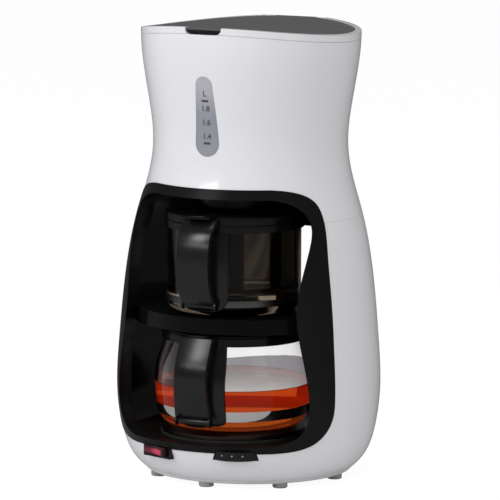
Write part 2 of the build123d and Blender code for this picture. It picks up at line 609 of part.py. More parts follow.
def reservoir_tank():
    wall = (body(TANK_INSET) - body(TANK_INSET + TANK_T)) & slab(TANK_FLOOR, TANK_TOP)
    floor = body(TANK_INSET + TANK_T / 2) & slab(TANK_FLOOR, TANK_FLOOR + TANK_T)
    flange = (body(WALL) - body(TANK_INSET + TANK_T / 2)) & slab(TANK_TOP - TANK_T, TANK_TOP)
    y = heater_end(1)[1]
    boss = disc(OUTLET_BOSS_R, TANK_FLOOR - 2.5, TANK_FLOOR + TANK_T / 2, OUTLET_X, y)
    spout = disc(HOSE_BORE_R - RUNNING_GAP, RISER_TOP_Z - 3.0, TANK_FLOOR, OUTLET_X, y)
    return wall + floor + flange + boss + spout - disc(STUB_BORE_R, 0, TANK_TOP, OUTLET_X, y)


def inlet_filter():
    low = TANK_FLOOR + TANK_T
    y = heater_end(1)[1]
    x = OUTLET_X - 3.0
    cup = ring(FILTER_R, FILTER_R - 1.0, low, low + FILTER_H, x, y)
    return cup + disc(FILTER_R, low + FILTER_H - 1.0, low + FILTER_H, x, y)


def window_face(grow):
    """Tapered pill: two circles and the tangents between them."""
    top = Pos(0, WINDOW_TOP_Z) * Circle(WINDOW_TOP_R + grow)
    low = Pos(0, WINDOW_LOW_Z) * Circle(WINDOW_LOW_R + grow)
    return Plane.XZ * make_hull([*top.edges(), *low.edges()])


def level_window():
    return (body(WINDOW_RECESS) - body(TANK_INSET - SEAT_GAP)) & forward(window_face(0.0))


# ---------------------------------------------------------------- tank lid
def lid_radius():
    return RIM_R - RIM_LAND - LID_GAP


def reservoir_lid():
    low, high = SKIRT_Z, ABOVE_RIM
    plate = (disc(lid_radius(), low, high) & arch(LID_DROP)) - arch(LID_DROP + LID_T)
    skirt_r = lid_radius() - SKIRT_INSET
    skirt = ring(skirt_r, skirt_r - SKIRT_T, low, high) & arch(LID_DROP + LID_T / 2)
    lip = finger_notch(GRIP_GAP) & disc(RIM_R - GRIP_GAP, low, high) & arch(LID_DROP)
    lip = lip - arch(LID_DROP + GRIP_LIP_T)
    knuckle = cross_bar(KNUCKLE_R, -LID_KNUCKLE_HALF, LID_KNUCKLE_HALF, HINGE_Y, HINGE_Z)
    bore = cross_bar(HINGE_PIN_R + RUNNING_GAP, -LID_KNUCKLE_HALF, LID_KNUCKLE_HALF, HINGE_Y, HINGE_Z)
    return plate + skirt + lip + knuckle - bore


def lid_grip():
    """Dark finger grip under the front lip of the lid."""
    top = LID_DROP + GRIP_LIP_T
    bar = ring(RIM_R - 2 * GRIP_GAP, lid_radius() + SEAT_GAP, SKIRT_Z, ABOVE_RIM)
    return (finger_notch(GRIP_GAP) & bar & arch(top)) - arch(top + GRIP_H)


# ---------------------------------------------------------------- switch and selector
def switch_frame():
    x, y = on_circle(SWITCH_FACE_R, SWITCH_ANGLE)
    return Plane(origin=(x, y, SWITCH_Z), x_dir=(cos(radians(SWITCH_ANGLE)), sin(radians(SWITCH_ANGLE)), 0),
                 z_dir=(x, y, 0))


def switch_box(width, height, near, far):
    return switch_frame() * Pos(0, 0, -(near + far) / 2) * Box(width, height, far - near)


def switch_opening():
    return switch_box(SWITCH_W + 2 * SEAT_GAP, SWITCH_H + 2 * SEAT_GAP, -CUT_PAST, SWITCH_DEPTH + SEAT_GAP)


def pocket_size():
    return SWITCH_W - 2 * SWITCH_RIM, SWITCH_H - 2 * SWITCH_RIM


def rocker_pivot(radius, length):
    return switch_frame() * Pos(0, 0, -ROCKER_PIVOT_DEPTH) * Rot(90, 0, 0) * Cylinder(radius, length)


def switch_body():
    frame = switch_box(SWITCH_W, SWITCH_H, 0, SWITCH_DEPTH) - switch_box(*pocket_size(), 0, SWITCH_POCKET)
    return frame - rocker_pivot(ROCKER_PIVOT_R + RUNNING_GAP, SWITCH_H - SWITCH_RIM)


def rocker_button():
    """Rocker with a shallow V face, resting with its right-hand end raised."""
    width, height = pocket_size()
    half = width / 2 - 2 * ROCKER_GAP
    foot = -ROCKER_PIVOT_DEPTH - ROCKER_SKIRT
    face = [(-half, ROCKER_END_H), (0, ROCKER_MID_H), (half, ROCKER_END_H)]
    side = Polyline(*face, (half, foot), (-half, foot), close=True)
    blank = extrude(Plane.XZ * make_face(side), amount=height / 2 - ROCKER_GAP, both=True)
    pin_l = SWITCH_H - 1.5 * SWITCH_RIM
    pins = Pos(0, 0, -ROCKER_PIVOT_DEPTH) * Rot(90, 0, 0) * Cylinder(ROCKER_PIVOT_R, pin_l)
    tilt = Pos(0, 0, -ROCKER_PIVOT_DEPTH) * Rot(0, -ROCKER_THROW, 0) * Pos(0, 0, ROCKER_PIVOT_DEPTH)
    return switch_frame() * (tilt * (blank + pins))


def dial_axis():
    return on_circle(DIAL_AXIS_R, DIAL_ANGLE)


def dial_opening():
    return disc(DIAL_R + DIAL_GAP, DIAL_LOW - DIAL_GAP, DIAL_TOP + DIAL_GAP, *dial_axis())


def selector_dial():
    x, y = dial_axis()
    core = DIAL_R - DIAL_RIB_R
    outline = Circle(core) + [place * Circle(DIAL_RIB_R) for place in PolarLocations(core, DIAL_RIBS)]
    wheel = Pos(x, y, DIAL_LOW) * extrude(outline, amount=DIAL_TOP - DIAL_LOW)
    return wheel - disc(DIAL_SHAFT_R + RUNNING_GAP, DIAL_LOW, DIAL_TOP - 2.0, x, y)


def selector_switch():
    x, y = dial_axis()
    return disc(DIAL_BODY_R, DIAL_BODY_LOW, DIAL_LOW - DIAL_GAP, x, y) + disc(
        DIAL_SHAFT_R, DIAL_BODY_LOW, DIAL_TOP - 2.5, x, y)


def board_posts():
    return [(BOARD_X + x, BOARD_Y + y) for x, y in BOARD_POSTS]


def control_board():
    top = DIAL_BODY_LOW
    x0, y1 = BOARD_X - BOARD_W / 2, BOARD_Y + BOARD_L / 2
    board = block(x0, x0 + BOARD_W, y1 - BOARD_L, y1, top - BOARD_T, top)
    edge = CAPACITOR_R / 2
    relay = block(x0 + edge, x0 + edge + RELAY_W, y1 - edge - RELAY_L, y1 - edge, top, top + BOARD_PART_H)
    middle = edge + CAPACITOR_R
    capacitor = disc(CAPACITOR_R, top, top + BOARD_PART_H, x0 + BOARD_W - middle, y1 - middle)
    return board + relay + capacitor


# ---------------------------------------------------------------- shelf and drain drive
def shelf_blank(shrink, low, high):
    return tunnel(-shrink) & body(BEZEL_LIP + shrink) & slab(low, high)


def middle_shelf():
    shelf = shelf_blank(0.0, SHELF_LOW, SHELF_TOP)
    pocket = shelf_blank(SHELF_T, SHELF_LOW, SHELF_TOP - SHELF_T)
    tube = ring(DRIP_R + SHELF_T, DRIP_R, SHELF_LOW + SHELF_COVER_T, SHELF_TOP, 0, CARAFE_Y)
    shelf = shelf - pocket + (tube & slab(SHELF_LOW, SHELF_TOP - SHELF_T / 2))
    funnel = Pos(0, CARAFE_Y, SHELF_TOP - SHELF_T / 4) * Cone(DRIP_R, DRIP_R + SHELF_T, SHELF_T / 2)
    near, far = CARAFE_Y - LIFTER_ARM_W, CARAFE_Y + LIFTER_ARM_W
    slot = block(GUIDE_X, 0, near, far, SHELF_LOW, SHELF_TOP - SHELF_T)
    return shelf - disc(DRIP_R, 0, SHELF_TOP, 0, CARAFE_Y) - funnel - slot


def shelf_cover():
    low, top = SHELF_LOW, SHELF_LOW + SHELF_COVER_T
    cover = shelf_blank(SHELF_T + SEAT_GAP, low, top) - disc(DRIP_R, low, top, 0, CARAFE_Y)
    return cover + disc(GUIDE_R, low, SHELF_TOP - SHELF_T - SEAT_GAP, GUIDE_X, CARAFE_Y)


def lifter_arm_low():
    return SHELF_LOW + SHELF_COVER_T + SEAT_GAP


def valve_lifter():
    low = lifter_arm_low()
    top = low + LIFTER_ARM_T
    arm = block(GUIDE_X, 0, CARAFE_Y - LIFTER_ARM_W / 2, CARAFE_Y + LIFTER_ARM_W / 2, low, top)
    pin = disc(LIFTER_PIN_R, low, LIFTER_TOP, 0, CARAFE_Y)
    collar = disc(GUIDE_RING_R, low, top, GUIDE_X, CARAFE_Y)
    return arm + pin + collar - disc(GUIDE_R + RUNNING_GAP, low, top, GUIDE_X, CARAFE_Y)


def drain_solenoid():
    low = SHELF_LOW + SHELF_COVER_T
    x1 = GUIDE_X - GUIDE_RING_R - 3 * SEAT_GAP
    half = SOLENOID_W / 2
    coil = block(x1 - SOLENOID_L, x1, CARAFE_Y - half, CARAFE_Y + half, low, low + SOLENOID_H)
    return fillet(coil.edges().filter_by(Axis.Z), 2.0)


# ---------------------------------------------------------------- carafes
def glass_bottom(support):
    return support + GLASS_LIFT


def corner_arc(x, z, radius):
    """Quarter arc in the plane Y = 0 from straight below its centre to straight beside it."""
    across, down = radius if isinstance(radius, tuple) else (radius, radius)
    middle = (x + across * cos(pi / 4), 0, z - down * sin(pi / 4))
    return ThreePointArc((x, 0, z - down), middle, (x + across, 0, z))


def upper_glass():
    low = glass_bottom(SHELF_TOP)
    floor, inner = low + GLASS_FLOOR_T, UPPER_R - UPPER_GLASS_T
    corner = UPPER_CORNER
    outside = [
        Line((PUNT_R, 0, low), (UPPER_R - corner, 0, low)),
        corner_arc(UPPER_R - corner, low + corner, corner),
        Line((UPPER_R, 0, low + corner), (UPPER_R, 0, UPPER_TOP)),
        Line((UPPER_R, 0, UPPER_TOP), (inner, 0, UPPER_TOP)),
        Line((inner, 0, UPPER_TOP), (inner, 0, low + corner)),
        corner_arc(UPPER_R - corner, low + corner, (corner - UPPER_GLASS_T, corner - GLASS_FLOOR_T)),
    ]
    punt_in, punt_out = PUNT_R - PUNT_H, PUNT_R
    inside = Polyline((UPPER_R - corner, 0, floor), (punt_out, 0, floor), (punt_in, 0, floor + PUNT_H),
                      (DRAIN_HOLE_R, 0, floor + PUNT_H), (DRAIN_HOLE_R, 0, low + PUNT_H),
                      (punt_in, 0, low + PUNT_H), (PUNT_R, 0, low))
    return Pos(0, CARAFE_Y, 0) * revolve(make_face([*outside, *inside.edges()]), Axis.Z)


def lower_outside(grow):
    """Outer outline of the serving carafe's glass from the neck to the heel, moved outwards."""
    points = [
        (LOWER_NECK_R, LOWER_TOP), (LOWER_NECK_R, LOWER_COLLAR_LOW),
        along((LOWER_NECK_R, LOWER_COLLAR_LOW), (LOWER_BELLY_R, LOWER_BELLY_Z), 0.62, 0.42),
        (LOWER_BELLY_R, LOWER_BELLY_Z), (LOWER_HEEL_R, LOWER_HEEL_Z),
    ]
    return [(r + grow, 0, z) for r, z in points]


def lower_profile(grow, low):
    """Closed outline from the axis out to the glass surface moved outwards by grow."""
    points = lower_outside(grow)
    neck, waist, *belly = points
    heel = belly[-1]
    foot = (LOWER_FOOT_R + grow, 0, low)
    return [
        Line((0, 0, neck[2]), neck), Line(neck, waist),
        Spline(waist, *belly, tangents=[(0.25, 0, -1), (-0.2, 0, -1)]),
        Spline(heel, foot, tangents=[(-0.2, 0, -1), (-1, 0, 0)]),
        Line(foot, (0, 0, low)), Line((0, 0, low), (0, 0, neck[2])),
    ]


@cache
def lower_form(grow, low):
    return Pos(0, CARAFE_Y, 0) * revolve(make_face(lower_profile(grow, low)), Axis.Z)


def lower_glass():
    low = glass_bottom(PLATE_TOP)
    return lower_form(0.0, low) - lower_form(-LOWER_GLASS_T, low + GLASS_FLOOR_T)


def upper_collar():
    outer = UPPER_R + COLLAR_T
    inner, ledge = UPPER_R + SEAT_GAP, UPPER_R - UPPER_GLASS_T - 1.0
    return turned([
        (outer, UPPER_COLLAR_LOW), (outer, UPPER_COLLAR_HIGH), (ledge, UPPER_COLLAR_HIGH),
        (ledge, UPPER_TOP + SEAT_GAP), (inner, UPPER_TOP + SEAT_GAP), (inner, UPPER_COLLAR_LOW),
    ], 0, CARAFE_Y)


def lower_collar():
    outer, inner = LOWER_NECK_R + COLLAR_T, LOWER_NECK_R + SEAT_GAP
    ledge = LOWER_NECK_R - LOWER_GLASS_T
    return turned([
        (outer, LOWER_COLLAR_LOW), (outer, LOWER_COLLAR_HIGH), (ledge, LOWER_COLLAR_HIGH),
        (ledge, LOWER_TOP + SEAT_GAP), (inner, LOWER_TOP + SEAT_GAP), (inner, LOWER_COLLAR_LOW),
    ], 0, CARAFE_Y)


def upper_band():
    outer = UPPER_R + SEAT_GAP + BAND_T
    return ring(outer, UPPER_R + SEAT_GAP, UPPER_BAND_LOW, UPPER_BAND_HIGH, 0, CARAFE_Y)


def lower_band():
    low = glass_bottom(PLATE_TOP)
    sleeve = lower_form(SEAT_GAP + BAND_T, low - BAND_T) - lower_form(SEAT_GAP, low)
    return sleeve & slab(LOWER_BAND_LOW, LOWER_BAND_HIGH)


def handle_points(grip_r, root_r, top, low):
    """Outer side view of a strap handle, top to bottom, as distance from the carafe's axis and height."""
    height = top - low
    return [
        (root_r, top), (grip_r - 9.0, top - 0.09 * height), (grip_r, top - 0.4 * height),
        (grip_r - 5.5, low + 0.2 * height), (root_r, low),
    ]


def side_face(points, root_r):
    """Face between a curved outer edge and a straight inner edge, in the plane X = 0."""
    edge = Spline(*[(0, -r, z) for r, z in points])
    (first_r, top), (last_r, low) = points[0], points[-1]
    ends = Polyline((0, -last_r, low), (0, -root_r, low), (0, -root_r, top), (0, -first_r, top))
    return make_face([edge, *ends.edges()])


def strap(grip_r, root_r, top, low):
    outer = handle_points(grip_r, root_r, top, low)
    inner = grown(outer, -HANDLE_T)
    loop = extrude(side_face(outer, root_r - 12.0), amount=HANDLE_W / 2, both=True, dir=(1, 0, 0))
    gap = extrude(side_face(inner, root_r - HANDLE_BASE_T / 2), amount=HANDLE_W, both=True, dir=(1, 0, 0))
    return Pos(0, CARAFE_Y, 0) * (loop - gap)


def screw_bar(radius, x0, x1, root_r, low):
    """Bar across a handle's lower arm, where the screw pulls the band together."""
    return cross_bar(radius, x0, x1, CARAFE_Y - root_r - HANDLE_T, low + HANDLE_T * 1.2)


def handle_screw(root_r, low):
    half = HANDLE_W / 2
    shank = screw_bar(HANDLE_SCREW_R, -half, half, root_r, low)
    head = screw_bar(HANDLE_SCREW_HEAD_R, half, half + HANDLE_SCREW_HEAD_H, root_r, low)
    nut = screw_bar(HANDLE_SCREW_HEAD_R, -half - HANDLE_SCREW_HEAD_H, -half, root_r, low)
    return shank + head + nut


def finished_handle(grip_r, root_r, top, low, base):
    """Strap and curved base in one moulding, with a boss for the cross screw."""
    half = HANDLE_W / 2
    boss = screw_bar(HANDLE_SCREW_HEAD_R, -half, half, root_r, low)
    bore = screw_bar(HANDLE_SCREW_R + RUNNING_GAP, -half, half, root_r, low)
    return strap(grip_r, root_r, top, low) + base + boss - bore


def upper_root_r():
    return UPPER_R + 2 * SEAT_GAP + BAND_T + HANDLE_BASE_T


def upper_handle():
    glass_r, root = upper_root_r() - HANDLE_BASE_T, upper_root_r()
    low, top = UPPER_HANDLE_LOW, UPPER_COLLAR_LOW - SEAT_GAP
    base = ring(root, glass_r, low, top, 0, CARAFE_Y) & wedge(HANDLE_BASE_ANGLE, root, low, top, CARAFE_Y)
    handle = finished_handle(UPPER_GRIP_R, root, UPPER_HANDLE_TOP, low, base)
    collar_room = disc(UPPER_R + COLLAR_T + SEAT_GAP, top, UPPER_HANDLE_TOP + 1, 0, CARAFE_Y)
    return handle - disc(glass_r, 0, UPPER_HANDLE_TOP, 0, CARAFE_Y) - collar_room


def lower_root_r():
    return LOWER_BELLY_R + 2 * SEAT_GAP + BAND_T + HANDLE_BASE_T


def lower_handle():
    glass_gap, root = 2 * SEAT_GAP + BAND_T, lower_root_r()
    low, top = LOWER_HANDLE_LOW, LOWER_COLLAR_LOW - SEAT_GAP
    glass_low = glass_bottom(PLATE_TOP)
    span = wedge(HANDLE_BASE_ANGLE, root, low, top, CARAFE_Y)
    room = lower_form(glass_gap, glass_low)
    base = lower_form(glass_gap + HANDLE_BASE_T, glass_low - 2.0) & span
    neck_r = LOWER_NECK_R + COLLAR_T + SEAT_GAP
    handle = finished_handle(LOWER_GRIP_R, root, LOWER_HANDLE_TOP, low, base)
    return handle - disc(neck_r, top, LOWER_HANDLE_TOP + 1, 0, CARAFE_Y) - room


def carafe_lid(radius, plug_r, collar_top, height, tab_t, handle_top):
    """Round lid with a plug ring, a hole in the middle and a thumb tab over the handle."""
    low, top = collar_top + LID_CLEAR, collar_top + height
    plug_low, skin = low - LID_PLUG_H, top - LID_EDGE
    cover = turned([
        (LID_HOLE_R, top), (radius - LID_EDGE, top), (radius, top - LID_EDGE / 2), (radius, low),
        (plug_r, low), (plug_r, plug_low), (plug_r - LID_PLUG_T, plug_low), (plug_r - LID_PLUG_T, skin),
        (LID_HOLE_R + LID_PLUG_T, skin), (LID_HOLE_R + LID_PLUG_T, low), (LID_HOLE_R, low),
    ], 0, CARAFE_Y)
    tab_low = handle_top + LID_CLEAR
    span = block(-TAB_W / 2, TAB_W / 2, CARAFE_Y - BLANK, CARAFE_Y, tab_low, tab_low + tab_t)
    tab = ring(TAB_R, radius - TAB_LAP, tab_low, tab_low + tab_t, 0, CARAFE_Y) & span
    return cover + tab


def upper_lid():
    radius = UPPER_R + COLLAR_T - LID_CLEAR
    plug_r = UPPER_R - UPPER_GLASS_T - 1.0 - LID_CLEAR
    return carafe_lid(radius, plug_r, UPPER_COLLAR_HIGH, UPPER_LID_H, UPPER_TAB_T, UPPER_HANDLE_TOP)


def lower_lid():
    radius = LOWER_NECK_R + COLLAR_T - LID_CLEAR
    plug_r = LOWER_NECK_R - LOWER_GLASS_T - LID_CLEAR
    return carafe_lid(radius, plug_r, LOWER_COLLAR_HIGH, LOWER_LID_H, LOWER_TAB_T, LOWER_HANDLE_TOP)


# ---------------------------------------------------------------- infuser basket
def infuser_frame():
    rim_top, rib_in = UPPER_TOP, INFUSER_R - INFUSER_RIB_T
    rim_r = UPPER_R - UPPER_GLASS_T - LID_CLEAR
    frame = ring(rim_r, rib_in - MESH_T, rim_top - INFUSER_RING_T, rim_top, 0, CARAFE_Y)
    frame = frame + ring(INFUSER_R, INFUSER_R - 7.0, INFUSER_LOW, INFUSER_LOW + INFUSER_RING_T, 0, CARAFE_Y)
    rib_ring = ring(INFUSER_R, rib_in, INFUSER_LOW, rim_top)
    rib = rib_ring & wedge(INFUSER_RIB_ANGLE / 2, INFUSER_R, INFUSER_LOW, rim_top)
    spoke_top = INFUSER_LOW + INFUSER_RING_T
    spoke = block(-INFUSER_RIB_T, INFUSER_RIB_T, -INFUSER_R + 6.0, 0, INFUSER_LOW, spoke_top)
    for i in range(INFUSER_RIBS):
        turn = Pos(0, CARAFE_Y, 0) * Rot(0, 0, INFUSER_TURN + 360 * i / INFUSER_RIBS)
        frame = frame + turn * rib
        if i % 2 == 0:
            frame = frame + turn * spoke
    return frame + disc(2 * INFUSER_RIB_T, INFUSER_LOW, spoke_top, 0, CARAFE_Y)


def infuser_mesh():
    low, top = INFUSER_LOW + INFUSER_RING_T, UPPER_TOP - INFUSER_RING_T
    outer = INFUSER_R - INFUSER_RIB_T
    return ring(outer, outer - MESH_T, low, top, 0, CARAFE_Y) + disc(outer, low, low + MESH_T, 0, CARAFE_Y)


# ---------------------------------------------------------------- drain valve
def drain_seat_z():
    """Top of the raised middle of the steeping carafe's floor."""
    return glass_bottom(SHELF_TOP) + GLASS_FLOOR_T + PUNT_H


def drain_top_z():
    return drain_seat_z() + DRAIN_SEAL_T + DRAIN_FLANGE_T


def bridge_low_z():
    return drain_top_z() - DRAIN_BRIDGE_T - 1.2


def drain_seal():
    seat = drain_seat_z()
    return ring(DRAIN_FLANGE_R, DRAIN_HOLE_R, seat, seat + DRAIN_SEAL_T, 0, CARAFE_Y)


def drain_body():
    seat, top = drain_seat_z(), drain_top_z()
    tube_r = DRAIN_HOLE_R - 2 * SEAT_GAP
    flange = ring(DRAIN_FLANGE_R, DRAIN_BORE_R, seat + DRAIN_SEAL_T, top, 0, CARAFE_Y)
    tube = ring(tube_r, DRAIN_BORE_R, glass_bottom(SHELF_TOP) + 1.0, top, 0, CARAFE_Y)
    low, half = bridge_low_z(), DRAIN_BORE_R + 1
    bridge = block(-half, half, CARAFE_Y - CLIP_R, CARAFE_Y + CLIP_R, low, low + DRAIN_BRIDGE_T)
    return flange + tube + bridge - disc(STEM_R + RUNNING_GAP, low, top, 0, CARAFE_Y)


def drain_nut():
    top = glass_bottom(SHELF_TOP) + PUNT_H - SEAT_GAP
    hexagon = extrude(RegularPolygon(DRAIN_NUT_R, 6), amount=DRAIN_NUT_T)
    tube_r = DRAIN_HOLE_R - 2 * SEAT_GAP + RUNNING_GAP
    return Pos(0, CARAFE_Y, top - DRAIN_NUT_T) * hexagon - disc(tube_r, 0, BLANK, 0, CARAFE_Y)


def stem_low():
    """Foot of the plunger, where the lifter's pin still has its free gap before the drain's lift."""
    return LIFTER_TOP + LIFTER_TRAVEL - DRAIN_LIFT + LIFTER_GAP


def drain_plunger():
    low = drain_top_z() + SEAT_GAP
    top = low + PLUNGER_T
    cap = turned([(0, low), (PLUNGER_R, low), (PLUNGER_R - PLUNGER_T / 2, top), (0, top)], 0, CARAFE_Y)
    stem = disc(STEM_R, stem_low(), low, 0, CARAFE_Y)
    return cap + stem + disc(CLIP_R, stem_low(), stem_low() + CLIP_T, 0, CARAFE_Y)


def drain_spring():
    low = stem_low() + CLIP_T + SPRING_WIRE_R + RUNNING_GAP
    height = bridge_low_z() - SPRING_WIRE_R - RUNNING_GAP - low
    path = Pos(0, CARAFE_Y, low) * Helix(pitch=height / SPRING_TURNS, height=height, radius=SPRING_R)
    return sweep(Plane(origin=path @ 0, z_dir=path % 0) * Circle(SPRING_WIRE_R), path=path, is_frenet=True)


# ---------------------------------------------------------------- the assembly
PARTS = {
    "lower_housing": lower_housing,
    "upper_housing": upper_housing,
    "front_bezel": front_bezel,
    "rear_frame": rear_frame,
    "liner_left": lambda: liner(-1),
    "liner_right": lambda: liner(1),
    "brew_head": brew_head,
    "shower_head": shower_head,
    "cavity_floor": cavity_floor,
    "base_plate": base_plate,
    "feet": feet,
    "base_screws": base_screws,
    "cord_gland": cord_gland,
    "warming_plate": warming_plate,
    "plate_gasket": plate_gasket,
    "heater_tube": heater_tube,
    "heater_bracket": heater_bracket,
    "thermostat": thermostat,
    "thermal_fuse": thermal_fuse,
    "supply_tubes": supply_tubes,
    "check_valve": check_valve,
    "riser_tube": riser_tube,
    "hose_clamps": hose_clamps,
    "reservoir_tank": reservoir_tank,
    "inlet_filter": inlet_filter,
    "level_window": level_window,
    "lid_hinge_pin": lid_hinge_pin,
    "reservoir_lid": reservoir_lid,
    "lid_grip": lid_grip,
    "switch_body": switch_body,
    "rocker_button": rocker_button,
    "selector_dial": selector_dial,
    "selector_switch": selector_switch,
    "control_board": control_board,
    "middle_shelf": middle_shelf,
    "shelf_cover": shelf_cover,
    "valve_lifter": valve_lifter,
    "drain_solenoid": drain_solenoid,
    "upper_glass": upper_glass,
    "upper_collar": upper_collar,
    "upper_band": upper_band,
    "upper_handle": upper_handle,
    "upper_handle_screw": lambda: handle_screw(upper_root_r(), UPPER_HANDLE_LOW),
    "upper_lid": upper_lid,
    "infuser_frame": infuser_frame,
    "infuser_mesh": infuser_mesh,
    "drain_seal": drain_seal,
    "drain_body": drain_body,
    "drain_nut": drain_nut,
    "drain_plunger": drain_plunger,
    "drain_spring": drain_spring,
    "lower_glass": lower_glass,
    "lower_collar": lower_collar,
    "lower_band": lower_band,
    "lower_handle": lower_handle,
    "lower_handle_screw": lambda: handle_screw(lower_root_r(), LOWER_HANDLE_LOW),
    "lower_lid": lower_lid,
}

os.makedirs("parts", exist_ok=True)
for name, build in PARTS.items():
    shape = build()
    solids = shape if isinstance(shape, list) else [shape]
    solids = [solid for part in solids for solid in part.solids()]
    export_step(solids[0] if len(solids) == 1 else Compound(children=solids), f"parts/{name}.step")
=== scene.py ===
import logging
import math
from collections.abc import Iterable, Sequence
from dataclasses import dataclass
from enum import Enum
from functools import cache
from typing import ClassVar

import bmesh
import bpy
import numpy as np
from mathutils import Matrix, Vector


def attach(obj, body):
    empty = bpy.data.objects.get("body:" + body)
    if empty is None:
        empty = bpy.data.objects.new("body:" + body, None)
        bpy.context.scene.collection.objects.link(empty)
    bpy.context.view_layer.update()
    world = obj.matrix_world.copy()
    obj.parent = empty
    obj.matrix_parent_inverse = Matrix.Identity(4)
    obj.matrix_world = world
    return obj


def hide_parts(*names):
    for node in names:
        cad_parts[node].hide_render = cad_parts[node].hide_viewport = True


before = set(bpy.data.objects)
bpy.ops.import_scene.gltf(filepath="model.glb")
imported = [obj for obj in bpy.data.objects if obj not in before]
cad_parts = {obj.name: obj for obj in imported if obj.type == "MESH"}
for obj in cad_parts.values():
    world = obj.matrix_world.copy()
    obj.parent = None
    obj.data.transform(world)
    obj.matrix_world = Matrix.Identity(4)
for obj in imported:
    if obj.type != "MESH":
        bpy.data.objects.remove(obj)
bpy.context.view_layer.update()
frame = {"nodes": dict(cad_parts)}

LOG = logging.getLogger("tea_maker")
MM = 0.001
FAR = 160.0  # reaches past the body from its axis
ABOVE = 405.0  # higher than the body
SEAT = 0.1  # clearance between a fixed piece and its seat
RANGE_INPUTS = ("From Min", "From Max", "To Min", "To Max")
Point2 = tuple[float, float]
Colour = tuple[float, float, float]
Side = tuple[float, float, float]


# ------------------------------------------------------------------ outlines
def end_slope(places: np.ndarray, knots: np.ndarray) -> np.ndarray:
    """Slope at the first knot of the cubic through the first four.

    Args:
        places: the curve parameter at each knot.
        knots: the points themselves.

    Returns:
        The derivative of the curve by its parameter.
    """
    slope = np.zeros(2)
    near = range(4)
    for j in near:
        weight = 0.0
        for m in (k for k in near if k != j):
            term = 1.0 / (places[j] - places[m])
            for n in (k for k in near if k not in (j, m)):
                term *= (places[0] - places[n]) / (places[j] - places[n])
            weight += term
        slope += weight * knots[j]
    return slope


def spline_through(points: Sequence[Point2], steps: int = 12) -> list[Point2]:
    """Run one smooth curve through the points.

    Args:
        points: the points that the curve passes, in order.
        steps: the pieces that each span is cut into.

    Returns:
        Points along the curve, with both ends.
    """
    knots = np.array(points, float)
    gaps = np.linalg.norm(np.diff(knots, axis=0), axis=1)
    places = np.concatenate([[0.0], np.cumsum(gaps)])
    count = len(knots)
    matrix, right = np.zeros((count, count)), np.zeros((count, 2))
    for i in range(1, count - 1):
        matrix[i, i - 1 : i + 2] = gaps[i - 1], 2 * (gaps[i - 1] + gaps[i]), gaps[i]
        right[i] = 6 * ((knots[i + 1] - knots[i]) / gaps[i] - (knots[i] - knots[i - 1]) / gaps[i - 1])
    matrix[0, :2] = 2 * gaps[0], gaps[0]
    right[0] = 6 * ((knots[1] - knots[0]) / gaps[0] - end_slope(places, knots))
    matrix[-1, -2:] = gaps[-1], 2 * gaps[-1]
    right[-1] = 6 * (end_slope(places[::-1], knots[::-1]) - (knots[-1] - knots[-2]) / gaps[-1])
    bend = np.linalg.solve(matrix, right)
    curve: list[Point2] = []
    for i, gap in enumerate(gaps):
        for t in (s / steps for s in range(steps)):
            a = 1 - t
            spot = a * knots[i] + t * knots[i + 1]
            spot = spot + ((a**3 - a) * bend[i] + (t**3 - t) * bend[i + 1]) * gap * gap / 6
            curve.append((float(spot[0]), float(spot[1])))
    return [*curve, (float(knots[-1][0]), float(knots[-1][1]))]


def between(start: Point2, end: Point2, share_x: float, share_z: float) -> Point2:
    """Point between two others, by its share of each coordinate."""
    return start[0] + share_x * (end[0] - start[0]), start[1] + share_z * (end[1] - start[1])


def grown(points: Sequence[Point2], amount: float) -> list[Point2]:
    """Move an outline outwards along its normals, with its ends straight up and down.

    Args:
        points: the outline's right edge, top to bottom.
        amount: how far it moves, in millimetres.

    Returns:
        The moved points.
    """
    moved = []
    for i, (x, z) in enumerate(points):
        before, after = points[max(i - 1, 0)], points[min(i + 1, len(points) - 1)]
        dx, dz = after[0] - before[0], after[1] - before[1]
        if i in (0, len(points) - 1):
            dx, dz = (1, 0) if i == 0 else (-1, 0)
        length = math.hypot(dx, dz)
        moved.append((x - amount * dz / length, z + amount * dx / length))
    return moved


def level_ended(points: Sequence[Point2], run: float = 9.0, dip: float = 0.5) -> list[Point2]:
    """Give an outline a short level stretch at each end.

    Args:
        points: the outline, top to bottom.
        run: how long each level stretch is.
        dip: how far the outline turns down before it.

    Returns:
        The outline with its level ends.
    """
    (top_x, top_z), (low_x, low_z) = points[0], points[-1]
    top, low = [(top_x - run, top_z), (top_x, top_z - dip)], [(low_x, low_z + dip), (low_x - run, low_z)]
    return [*top, *points[1:-1], *low]


def mirrored(points: Sequence[Point2]) -> list[Point2]:
    """Close a right edge, given top to bottom, with its mirror image."""
    right = spline_through(level_ended(points))
    return right + [(-x, z) for x, z in reversed(right)]


def arc(
    radius: float, steps: int, middle: Point2 = (0.0, 0.0), start: float = 0.0, turn: float = math.tau
) -> list[Point2]:
    """Points along a circle or a part of it.

    Args:
        radius: the circle's radius.
        steps: the pieces that the turn is cut into.
        middle: the circle's middle.
        start: the angle of the first point.
        turn: how far the points go round.

    Returns:
        The points, without the last one of a whole turn.
    """
    angles = [start + turn * i / steps for i in range(steps if turn == math.tau else steps + 1)]
    return [(middle[0] + radius * math.cos(a), middle[1] + radius * math.sin(a)) for a in angles]


def oblong(left: float, right: float, low: float, high: float) -> list[Point2]:
    """Closed outline of an upright rectangle."""
    return [(left, low), (right, low), (right, high), (left, high)]


def sideways(y: float) -> Matrix:
    """Frame in which an outline is a side view, seen from +X, of something at depth y."""
    return Matrix.Translation((0, y, 0)) @ Matrix.Rotation(math.pi / 2, 4, "Z")


